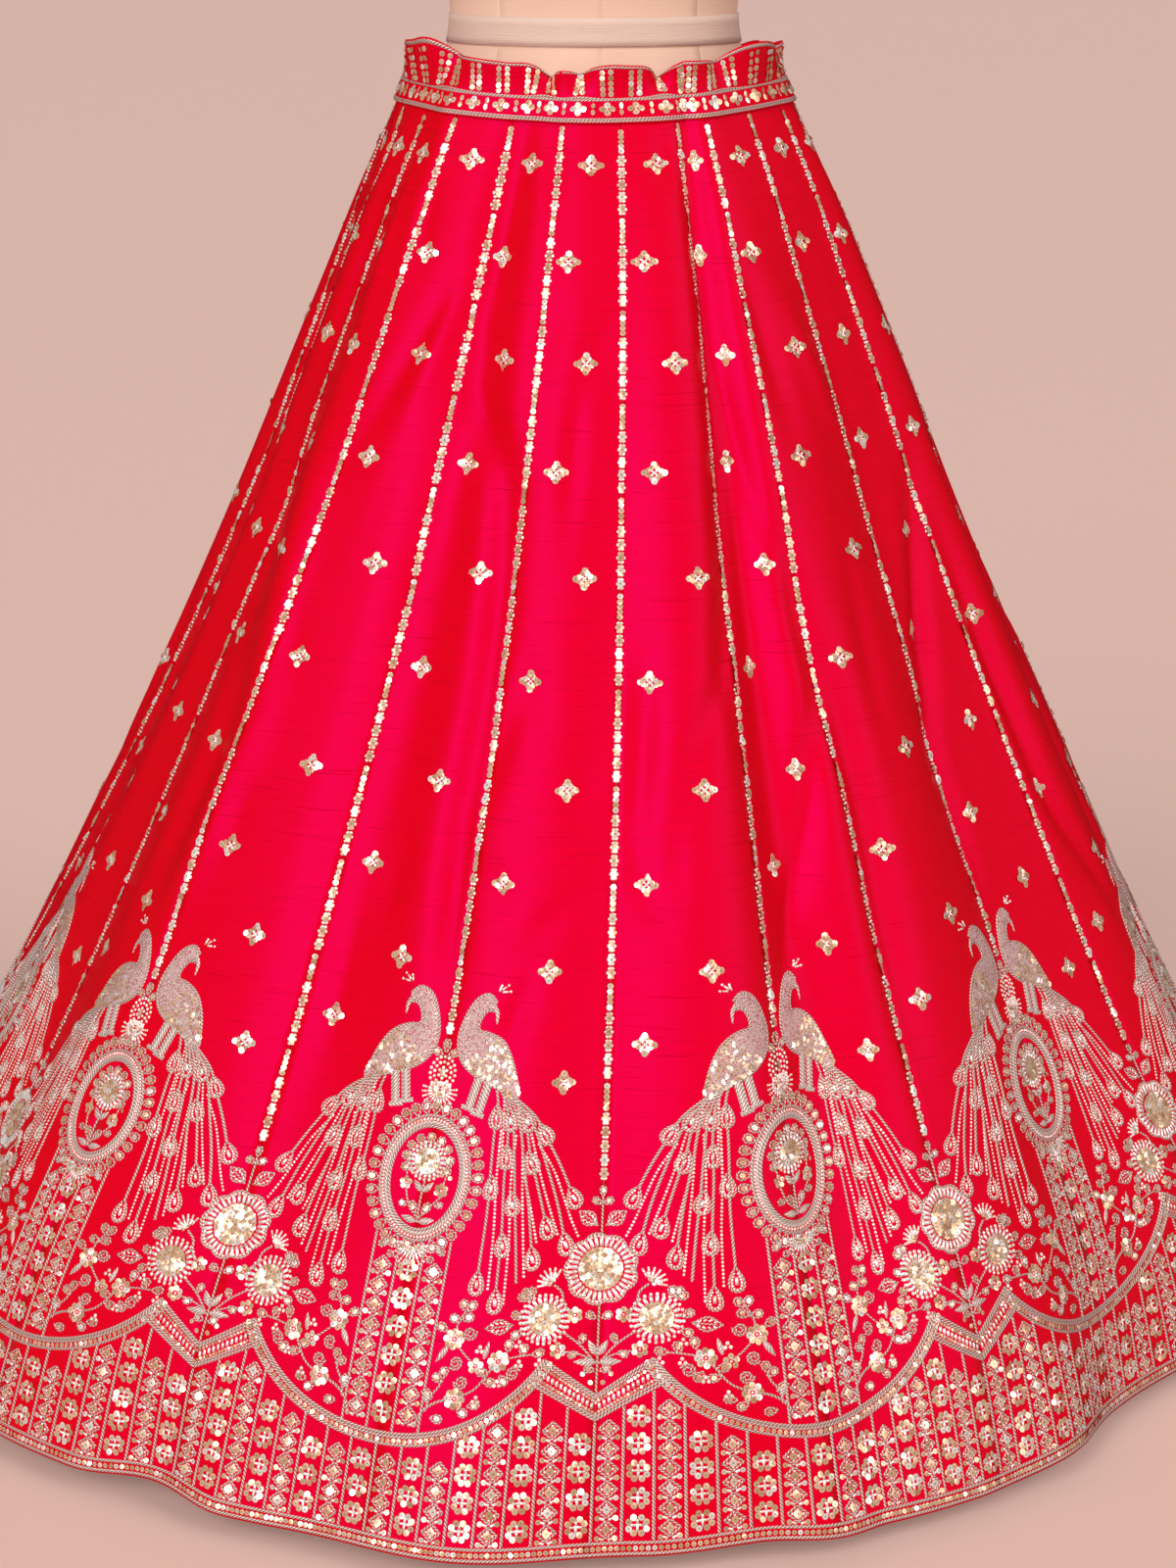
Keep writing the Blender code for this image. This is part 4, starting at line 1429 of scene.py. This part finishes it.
def v_notch():
    """The V between two scallops: paired cords, sequins, slanting beads, sequins, a cord."""
    inner = np.array([V_PEAK, V_INNER])
    across = np.array([V_OUTER_PEAK, V_OUTER]) - inner
    arm = Design()
    for share in (0.0, 0.13, 0.87, 1.0):
        arm.cord(along(inner + across * share), 0.1)
    for share in (0.27, 0.73):
        arm.row("sequin", inner + across * share, 0.11, pitch=0.25)
    peak, foot = inner + across * 0.5
    middle = peak + (foot - peak) * np.array([[0.06], [0.94]])
    arm.row("bugle", middle, 0.22, 0.1, pitch=0.36, turn=65)
    arm.cord(along((V_PEAK, V_OUTER_PEAK)), 0.1)
    return Design().both(arm, 0, 0)


def hem_edge():
    """Two cords and a row of sequins along the hem, for one panel."""
    reach = BORDER_PANEL / CM
    edge = Design()
    for height in (0.22, 0.98):
        edge.cord(along(((0, height), (reach, height)), 0.3), 0.12)
    return edge.row("sequin", ((0.15, 0.6), (reach - 0.2, 0.6)), 0.19, pitch=0.36)


def columns_and_cells():
    """The ribs of the border for one scallop, and the places of its flowers and diamonds."""
    ribs, flowers, diamonds = Design(), [], []
    reach = BORDER_PANEL / CM
    width = reach / COLUMNS
    for k in range(-COLUMNS, COLUMNS):
        u = k * width
        top = float(border_top(np.array(u)))
        ribs.cord(along(((u, 1.15), (u, top)), 0.3), 0.1)
        middle = u + width / 2
        top = float(min(border_top(np.array(middle - 0.5)), border_top(np.array(middle + 0.5))))
        pitch, cells = (1.9, flowers) if k % 2 else (1.4, diamonds)
        first = 1.15 + pitch * 0.55
        while first < top - 0.45:
            cells.append((middle, first))
            first += pitch
    return ribs, flowers, diamonds


def column_group():
    """The three columns that stand under the medallion."""
    group = Design()
    for u in (-2.88, -0.96, 0.96, 2.88):
        top = -4.2 - 0.9 * (1 - (u / 2.88) ** 2)
        group.cord(along(((u, -17.7), (u * 0.97, top)), 0.3), 0.1)
    for k in range(6):
        group.put(flower_cell(), 0, -16.5 + 1.98 * k)
    for k in range(8):
        group.both(diamond_cell(), 1.93, -16.4 + 1.42 * k)
    return group


# Medallion, peacocks, bouquet and sprays, drawn round their own middles


def fan_flower(reach=1.3, petals=9, sweep=180.0, start=180.0):
    """Half a flower: sequins at its heart and bead rows that open out of it."""
    fan = Design()
    for turn in np.linspace(start, start + sweep, petals):
        away = direction(turn)
        fan.sew("bugle", away * reach * 0.62, turn, reach * 0.22, 0.08)
        fan.sew("bead", (away * reach * 0.9, away * reach * 1.04), 0, 0.09)
    fan.sew("sequin", round_places(5, reach * 0.25, start=start, sweep=sweep)[0], 0, 0.18)
    return fan


def round_flower(reach, rows, lobes=0, petals=22):
    """A full flower: rings of overlapping sequins inside rings of beads and a lobed edge."""
    flower = Design()
    heart = reach * 0.62
    for ring in range(rows, 0, -1):
        radius = heart * ring / rows
        count = max(5, round(2 * math.pi * radius / 0.34))
        flower.sew("sequin", round_places(count, radius * 0.86)[0], 0, 0.25)
    flower.sew("sequin", (0, 0), 0, 0.24)
    places, turns = round_places(petals, reach * 0.80)
    flower.sew("bugle", places, turns, reach * 0.16, 0.12)
    if lobes:
        angles = np.linspace(0, 2 * math.pi, 160)
        edge = reach * (0.93 + 0.1 * abs(np.sin(lobes * angles / 2)))
        rim = on_oval(angles, edge, edge)
        flower.cord(along(rim, 0.2), 0.08)
        flower.row("bead", rim * 0.93, 0.11, pitch=0.26)
    else:
        flower.sew("bead", round_places(petals + 4, reach)[0], 0, 0.13)
    return flower


def medallion():
    piece = Design()
    piece.cord(oval(2.62, 3.70), 0.12).strip("satin", oval(2.85, 3.96), 0.15)
    piece.row("bead", oval(3.08, 4.22), 0.11, pitch=0.25).cord(oval(3.28, 4.46), 0.12)
    places, _ = round_places(34, 3.36, 4.56)
    for u, v in places:
        # Each petal stands square to the oval's edge
        facing = math.degrees(math.atan2(v / 4.52**2, u / 3.34**2)) - 90
        piece.put(loop_petal(0.95, 0.68), u, v, facing)
    for turn in range(-112, 113, 28):
        piece.put(loop_petal(0.8, 0.6), *((0, 1.25) + 1.15 * direction(turn + 90)), turn)
    piece.put(round_flower(1.35, 2, petals=20), 0, 1.2)
    piece.cord(curve((0.05, -0.1), (-0.05, -1.6), (0, -3.2)), 0.08)
    piece.both(satin_leaf(1.0, 0.42), 0.05, -1.0, -42)
    piece.both(satin_leaf(1.15, 0.46), 0.1, -3.15, -76)
    piece.both(loop_petal(0.95, 0.55), 0.25, -2.6, -28)
    piece.cord(curve((0.05, -2.9), (0.75, -2.0), (1.4, -1.2)), 0.07)
    piece.put(sequin_flower(6, 0.34, 0.21), 1.38, -0.75)
    piece.cord(curve((1.45, -0.4), (1.55, 0.3), (1.6, 0.9)), 0.06)
    piece.put(loop_petal(0.8, 0.5), 1.6, 0.85, -8)
    piece.sew("sequin", ((1.25, 0.35), (1.9, 0.2)), 0, 0.17)
    piece.put(loop_petal(0.6, 0.45), 1.1, -1.9, -70)
    piece.cord(curve((-0.05, -2.9), (-0.85, -2.0), (-1.25, -0.9)), 0.07)
    piece.put(sequin_flower(5, 0.3, 0.19), -1.3, -0.5)
    piece.cord(curve((-1.3, -0.2), (-1.42, 0.6), (-1.4, 1.0)), 0.06)
    piece.put(loop_petal(0.8, 0.5), -1.4, 0.95, 8)
    piece.sew("sequin", ((-1.75, 0.55), (-1.1, 0.45)), 0, 0.17)
    piece.put(loop_petal(0.6, 0.45), -1.0, -2.1, 70)
    piece.put(fan_flower(1.45, 13), 0, -4.75)
    for ring in (0.45, 0.8, 1.1):
        piece.row("bead", oval(ring, ring * 0.62, v=-4.75, start=180, sweep=180), 0.13, pitch=0.25)
    piece.both(satin_leaf(1.0, 0.4, 0.2), 1.75, -4.55, -125)
    piece.both(loop_petal(0.7, 0.5), 2.1, -4.6, -160)
    piece.both(curl(1.0, 0.3), 1.5, -5.6)
    return piece


def pendant():
    """The drop between two birds, hung from the end of a seam's line."""
    drop = Design()
    drop.put(loop_petal(0.95, 0.55), 0, 9.0)
    drop.both(loop_petal(0.8, 0.55), 0.2, 8.75, -58)
    for ring, count, size in ((0.30, 6, 0.13), (0.62, 13, 0.13), (0.92, 19, 0.13)):
        drop.sew("bead", round_places(count, ring, ring * 1.25, v=7.55)[0], 0, size)
    drop.sew("sequin", (0, 7.55), 90, 0.26, 0.2)
    drop.put(fan_flower(1.2, 13, 200, 170), 0, 6.25)
    drop.row("bead", oval(0.8, 0.5, v=6.35), 0.13, pitch=0.24)
    drop.row("bead", oval(0.42, 0.26, v=6.4), 0.12, pitch=0.22)
    return drop.put(loop_petal(0.7, 0.45), 0, 5.05)


PLUMES = (
    # points of the rope from the tail's root, and whether it ends in an eye
    (((4.1, 7.1), (4.45, 5.9), (4.55, 3.4), (4.75, 0.9), (4.95, -1.2), (5.15, -6.0)), True),
    (((4.4, 7.0), (5.1, 5.7), (5.6, 3.2), (5.8, 0.6), (6.3, -3.2), (6.65, -7.2)), True),
    (((4.7, 6.9), (5.5, 5.4), (6.25, 2.2), (6.8, -0.8), (7.5, -4.2), (8.0, -6.8)), False),
    (((4.9, 6.8), (6.1, 4.9), (7.0, 1.8), (7.8, -1.0), (8.6, -4.2)), True),
    (((5.1, 6.7), (6.5, 4.9), (7.4, 2.3), (8.4, -0.2), (9.15, -2.1)), True),
    (((5.3, 6.6), (7.3, 4.3), (8.7, 1.5), (10.0, -1.4), (10.7, -3.3)), True),
    (((5.4, 6.5), (7.4, 4.9), (8.5, 3.3), (9.8, 1.3), (10.6, -0.1)), True),
)
PLUME_EYES = (
    # middle of the eye, turn
    (4.5, 4.9, 185),
    (5.55, 4.75, 195),
    (6.75, 4.7, 205),
    (8.2, 3.75, 215),
    (5.7, 2.1, 188),
    (7.55, 1.75, 205),
    (4.95, -0.1, 184),
    (6.7, -1.2, 195),
    (6.5, -4.1, 190),
)
PLUME_BEADS = (
    ((4.85, 6.3), (5.15, 4.0), (5.3, 2.6)),
    ((5.9, 6.0), (6.35, 4.2), (6.6, 3.4)),
    ((5.0, 3.9), (5.25, 0.5), (5.75, -3.5), (6.05, -7.2)),
    ((6.15, 3.6), (6.3, 0.6), (6.95, -4.0), (7.35, -8.2)),
    ((6.75, 2.9), (7.25, -0.2), (7.9, -3.6), (8.45, -6.3)),
    ((7.3, 0.6), (8.1, -1.6), (8.9, -3.9)),
    ((7.25, 3.7), (8.3, 1.0), (9.4, -1.5), (10.3, -3.4)),
    ((7.9, 3.0), (9.3, 1.1), (10.3, -0.8), (11.1, -2.4), (11.8, -3.6)),
)


def plume_eye():
    """A teardrop of cord round beads and one long bead, with its root at the top."""
    eye = loop_petal(1.75, 1.1)
    eye.sewn.clear()
    turn = np.linspace(0.9, 2 * math.pi - 0.9, 14)
    inner = pairs(0.42 * np.sin(turn) * np.sin(turn / 2), 0.16 + 0.72 * (1 - np.cos(turn)))
    eye.row("bead", inner, 0.1, pitch=0.23)
    return eye.sew("bugle", (0, 0.95), 90, 0.3, 0.12)


BIRD_BREAST = (
    # the crown, nape, breast and belly, from the beak to the tail
    (3.2, 13.0), (2.6, 13.55), (1.85, 13.25), (1.3, 12.4), (0.9, 11.2), (0.76, 10.3), (0.85, 9.4),
    (1.25, 8.55), (1.95, 7.9), (2.9, 7.4), (3.9, 7.0), (4.9, 6.6), (5.75, 6.2),
)
BIRD_BACK = (
    # the throat, neck, back and rump
    (3.1, 12.35), (2.8, 12.4), (2.5, 12.25), (2.25, 11.8), (2.12, 11.2), (2.3, 10.85), (2.85, 10.8),
    (3.6, 10.5), (4.3, 9.95), (4.85, 9.15), (5.3, 8.2), (5.6, 7.25), (5.85, 6.35),
)


def peacock():
    """The bird at the right of a medallion. It looks away from the middle."""
    bird = Design()
    for points, ends_in_eye in PLUMES:
        line = curve(*points)
        bird.cord(line, 0.1)
        if ends_in_eye:
            du, dv = line[-1] - line[-2]
            bird.put(plume_eye(), *line[-1], math.degrees(math.atan2(dv, du)) - 90)
    for u, v, turn in PLUME_EYES:
        bird.put(plume_eye(), *((u, v) - 0.85 * direction(turn + 90)), turn)
    for points in PLUME_BEADS:
        bird.row("bead", curve(*points), 0.105, pitch=0.28)
    share = np.linspace(0, len(BIRD_BREAST) - 1, 64)
    outer, inner = (
        np.stack([smooth_between(share, np.arange(len(line)), row) for row in zip(*line)], axis=1)
        for line in (BIRD_BREAST, BIRD_BACK)
    )
    bird.fill("seeded", outer, inner)
    for at in np.arange(39, 62, 2):
        first, last = outer[at], inner[at]
        wide = float(np.hypot(*(last - first)))
        spread = np.linspace(0.1, 0.9, max(2, round(wide / 0.34)))[:, None]
        bird.sew("sequin", first + (last - first) * spread, 0, 0.25)
    collar = outer[36] + (inner[36] - outer[36]) * np.array([[0.15], [0.85]])
    bird.row("bugle", collar, 0.17, 0.09, pitch=0.32, turn=90)
    bird.cord(along(outer, 0.24), 0.1).cord(along(inner, 0.24), 0.1)
    beak = curve((2.95, 12.75), (3.3, 12.3), (3.4, 11.45), step=0.15)
    bird.strip("satin", beak, np.linspace(0.22, 0.05, len(beak)))
    for height in (11.35, 11.65):
        bird.sew("bugle", ((1.2, height), (1.75, height + 0.03)), 5, 0.26, 0.09)
    bird.sew("bead", (2.5, 12.95), 0, 0.14)
    crown = np.array((3.2, 13.75))
    for tip in np.array(((3.35, 14.25), (3.85, 14.3), (4.05, 13.85))):
        facing = math.degrees(math.atan2(*(tip - crown)[::-1]))
        bird.sew("bugle", crown * 0.45 + tip * 0.55, facing, 0.24, 0.07)
        bird.sew("bead", tip, 0, 0.1)
    for top, foot in np.array((((2.75, 7.5), (2.35, 5.3)), ((3.5, 7.25), (3.1, 4.95)))):
        leg = along((top, foot), 0.3)
        bird.strip("satin", leg, 0.24).cord(beside(leg, 0.25), 0.08).cord(beside(leg, -0.25), 0.08)
        bird.strip("satin", along((foot + (-0.55, 0.1), foot + (0.45, -0.15)), 0.3), 0.18)
    return bird


def side_flower():
    """A bouquet's flower at one side, with its leaves, buds and small flowers. For the right."""
    side = Design()
    side.put(round_flower(1.7, 3, lobes=0, petals=22), 3.75, -3.4)
    side.put(beaded_leaf(1.9, 1.0), 6.0, -3.75, -98)
    side.put(loop_petal(0.8, 0.6), 5.35, -3.3, -60).put(loop_petal(0.8, 0.6), 5.3, -4.2, -118)
    for turn in (-75, -30, 15):
        side.put(loop_petal(0.85, 0.6), 4.85, -1.95, turn)
    side.put(fan_flower(1.0, 7, 130, -10), 3.3, -0.9).put(fan_flower(0.65, 5, 110, 0), 3.35, -0.85)
    side.cord(curve((2.05, -3.0), (2.5, -2.2), (2.6, -1.6), (3.2, -1.0)), 0.09)
    side.put(sequin_flower(6, 0.36, 0.22), 1.65, -3.2).put(sequin_flower(6, 0.38, 0.22), 2.75, -5.6)
    side.cord(curve((0.1, -6.6), (1.2, -5.3), (2.5, -4.3)), 0.08)
    side.cord(curve((0.2, -6.4), (1.3, -5.9), (2.3, -5.7)), 0.07)
    side.put(satin_leaf(1.5, 0.5), 0.1, -6.5, -88).put(satin_leaf(1.15, 0.46), 0.1, -6.0, -28)
    side.put(loop_petal(0.75, 0.55), 0.2, -3.45, -62).put(loop_petal(0.7, 0.5), 1.2, -5.2, 20)
    side.put(loop_petal(0.7, 0.5), 1.35, -5.8, -110).put(loop_petal(0.7, 0.55), 0.2, -7.1, -70)
    side.sew("sequin", ((0.42, -7.9), (0.95, -7.3)), 0, 0.18)
    side.put(beaded_leaf(1.6, 1.0), 0.35, 3.1, -52)
    return side.put(loop_petal(0.7, 0.5), 0.1, 4.6, -60)


def bouquet():
    piece = Design()
    piece.both(side_flower(), 0, 0)
    piece.put(round_flower(2.45, 4, lobes=9, petals=34), 0, 0)
    piece.cord(along(((0.0, 2.4), (0.0, 5.2))), 0.08).cord(along(((0.0, -2.4), (0.0, -8.6))), 0.08)
    return piece.put(loop_petal(0.75, 0.45), 0, 5.1)


def corner_spray():
    """The vine that fills the corner between a column group and the scallop. For the right."""
    vine = Design()
    for half, points in (
        (0.1, ((2.55, 8.9), (2.85, 9.8), (3.7, 10.6), (4.7, 11.0))),
        (0.08, ((3.15, 10.0), (3.35, 11.0), (3.9, 11.9), (3.95, 12.4))),
        (0.08, ((5.4, 11.2), (6.4, 11.8), (7.1, 12.8), (7.5, 13.5))),
        (0.07, ((8.1, 13.9), (9.1, 14.1), (10.0, 14.2))),
        (0.07, ((6.2, 13.4), (5.3, 14.1), (4.6, 14.8))),
        (0.07, ((4.35, 15.4), (4.5, 16.5), (4.9, 17.2))),
    ):
        vine.cord(curve(*points), half)
    for u, v, petals, reach, size in (
        (5.1, 11.05, 8, 0.52, 0.25),
        (7.75, 13.75, 8, 0.52, 0.25),
        (4.35, 15.1, 8, 0.52, 0.25),
        (6.2, 13.4, 5, 0.36, 0.22),
    ):
        vine.put(sequin_flower(petals, reach, size), u, v)
        vine.sew("bead", round_places(petals, 0.26, u=u, v=v)[0], 0, 0.11)
    for u, v, turn, flip in (
        (5.35, 12.2, 0, False),
        (4.75, 13.5, 40, False),
        (5.4, 15.6, 20, True),
        (8.9, 12.9, 200, False),
    ):
        vine.put(curl(), u, v, turn, flip)
    for u, v, turn in (
        (3.95, 12.3, -10), (4.05, 12.1, 60), (3.5, 10.9, 55), (5.4, 10.4, -120), (6.1, 10.6, -75),
        (6.9, 12.4, -100), (7.2, 12.9, 80), (4.85, 17.1, 30), (4.95, 17.1, -35), (4.6, 16.4, 75),
        (4.65, 16.5, -70), (10.0, 14.2, -80), (9.3, 14.1, -10), (8.3, 14.4, 0), (3.75, 15.6, 60),
        (8.0, 12.8, -140), (3.6, 9.6, -95),
    ):
        vine.put(loop_petal(0.85, 0.6), u, v, turn)
    vine.put(satin_leaf(1.35, 0.4), 4.0, 14.6, 150).put(satin_leaf(1.2, 0.34), 6.7, 13.9, -8)
    vine.put(satin_leaf(1.0, 0.45, 0.25), 3.2, 10.5, 40)
    for u, v in ((6.6, 11.05), (7.9, 12.2), (9.2, 13.55), (9.0, 14.9), (10.6, 13.6), (6.3, 14.5)):
        vine.sew("bead", round_places(3, 0.2, u=u, v=v)[0], 0, 0.15)
    return vine


# The waistband's trimming


def band_repeat():
    """One repeat of the waistband: a column of paired sequins above, a flower and ovals below."""
    repeat = Design()
    for height in (2.42, 2.84, 3.26, 3.68, 4.1):
        repeat.sew("sequin", ((-0.24, height), (0.24, height + 0.04)), 0, 0.22)
    repeat.sew("sequin", round_places(4, 0.3, v=1.12, start=0)[0], 0, 0.26)
    repeat.sew("bead", (0, 1.12), 0, 0.12)
    return repeat.sew("sequin", ((0.88, 1.38), (0.88, 0.86)), 90, 0.25, 0.16)


BAND_REPEATS = 48


class LEHENGA_OT_waistband_trim(bpy.types.Operator):
    """Sew the cords, sequins and small flowers on the waistband"""

    bl_idname = "lehenga.waistband_trim"
    bl_label = "Waistband Trim"

    def execute(self, context):
        start, end = BAND_ENDS
        wide = (end - start) * BAND_PANEL / CM
        cords = Design()
        for height in (0.14, 0.32, 1.86, 2.04, 4.46):
            cords.cord(along(((0, height), (wide, height)), 0.3), 0.09)
        sew_on("waistband_cords", cords, [(start, 0, 1)], band_spot, on_band, 3)
        spaced = start + (np.arange(BAND_REPEATS) + 0.5) * (end - start) / BAND_REPEATS
        sew_on("waistband_sequins", band_repeat(), every(spaced, 0), band_spot, on_band, 4)
        return {"FINISHED"}


class LEHENGA_OT_seam_lines(bpy.types.Operator):
    """Sew the lines of sequins and beads down the panels' seams"""

    bl_idname = "lehenga.seam_lines"
    bl_label = "Seam Lines"

    def execute(self, context):
        anchors = []
        for seams, foot in ((EVEN_SEAMS, EVEN_LINE_FOOT), (ODD_SEAMS, ODD_LINE_FOOT)):
            tall = SEAM_LINE_TOP - foot
            units = round(tall / SEAM_UNIT)
            for seam in seams:
                anchors += [(seam, foot + k * tall / units, 1) for k in range(units)]
        sew_on("seam_line", seam_line(), anchors, seed=5)
        return {"FINISHED"}


class LEHENGA_OT_butis(bpy.types.Operator):
    """Sew the small scattered flowers on every panel"""

    bl_idname = "lehenga.butis"
    bl_label = "Scattered Flowers"

    def execute(self, context):
        anchors = []
        for panel in range(-PANELS // 2, PANELS // 2):
            for share, rise in (*BUTI_PLACES, LAST_BUTI[panel % 2]):
                anchors.append((panel + share, rise, 1))
        sew_on("scattered_flower", buti(), anchors, seed=6)
        return {"FINISHED"}


class LEHENGA_OT_border(bpy.types.Operator):
    """Sew the scalloped border: hem edge, ribs, flower and diamond columns, scallops and notches"""

    bl_idname = "lehenga.border"
    bl_label = "Scalloped Border"

    def execute(self, context):
        edge = sew_on("hem_edge", hem_edge(), every(range(-12, 12), 0), border_spot, seed=7)
        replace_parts(edge[0], "hem_braid")
        ribs, flowers, diamonds = columns_and_cells()
        sew_on("border_ribs", ribs, every(ODD_SEAMS, 0), border_spot, seed=8)
        for name, cell, places, seed in (
            ("border_flower", flower_cell(), flowers, 9),
            ("border_diamond", diamond_cell(), diamonds, 10),
        ):
            anchors = [
                (seam + u * CM / BORDER_PANEL, v * CM, 1) for seam in ODD_SEAMS for u, v in places
            ]
            sew_on(name, cell, anchors, seed=seed)
        sew_on("scallop", scallop(), every(ODD_SEAMS, 0), border_spot, seed=11)
        sew_on("border_notch", v_notch(), every(EVEN_SEAMS, 0), border_spot, seed=12)
        both_sides = every(ODD_SEAMS, 0) + every(ODD_SEAMS, 0, -1)
        sew_on("corner_spray", corner_spray(), both_sides, seed=13)
        return {"FINISHED"}


MEDALLION_RISE = 0.2596
BOUQUET_RISE = 0.200


class LEHENGA_OT_medallions(bpy.types.Operator):
    """Sew the oval medallions, their columns and pendants"""

    bl_idname = "lehenga.medallions"
    bl_label = "Medallions"

    def execute(self, context):
        sew_on("medallion", medallion(), every(ODD_SEAMS, MEDALLION_RISE), seed=14)
        sew_on("column_group", column_group(), every(ODD_SEAMS, MEDALLION_RISE), seed=15)
        sew_on("pendant", pendant(), every(ODD_SEAMS, MEDALLION_RISE), seed=16)
        return {"FINISHED"}


class LEHENGA_OT_peacocks(bpy.types.Operator):
    """Sew the pairs of peacocks"""

    bl_idname = "lehenga.peacocks"
    bl_label = "Peacocks"

    def execute(self, context):
        for name, side, seed in (("peacock_right", 1, 17), ("peacock_left", -1, 18)):
            sew_on(name, peacock(), every(ODD_SEAMS, MEDALLION_RISE, side), seed=seed)
        return {"FINISHED"}


class LEHENGA_OT_bouquets(bpy.types.Operator):
    """Sew the bouquets over the notches"""

    bl_idname = "lehenga.bouquets"
    bl_label = "Bouquets"

    def execute(self, context):
        sew_on("bouquet", bouquet(), every(EVEN_SEAMS, BOUQUET_RISE), seed=19)
        return {"FINISHED"}


class LEHENGA_PT_panel(bpy.types.Panel):
    """The looks and the steps, in the 3D view's sidebar"""

    bl_idname = "LEHENGA_PT_panel"
    bl_label = "Lehenga Skirt"
    bl_space_type = "VIEW_3D"
    bl_region_type = "UI"
    bl_category = "Lehenga"

    def draw(self, context):
        looks = context.scene.lehenga_looks
        for name in looks.__annotations__:
            self.layout.prop(looks, name)
        for step in STEPS:
            self.layout.operator(step.bl_idname)


STEPS = (
    LEHENGA_OT_stage,
    LEHENGA_OT_dress_form,
    LEHENGA_OT_waistband,
    LEHENGA_OT_silk_panels,
    LEHENGA_OT_lining,
    LEHENGA_OT_waistband_trim,
    LEHENGA_OT_seam_lines,
    LEHENGA_OT_butis,
    LEHENGA_OT_border,
    LEHENGA_OT_medallions,
    LEHENGA_OT_peacocks,
    LEHENGA_OT_bouquets,
)


def register():
    for part in (LehengaLooks, *STEPS, LEHENGA_PT_panel):
        bpy.utils.register_class(part)
    bpy.types.Scene.lehenga_looks = bpy.props.PointerProperty(type=LehengaLooks)


def unregister():
    del bpy.types.Scene.lehenga_looks
    for part in (LEHENGA_PT_panel, *reversed(STEPS), LehengaLooks):
        bpy.utils.unregister_class(part)


def main():
    register()
    for step in STEPS:
        space, name = step.bl_idname.split(".")
        getattr(getattr(bpy.ops, space), name)()


if __name__ == "__main__":
    main()
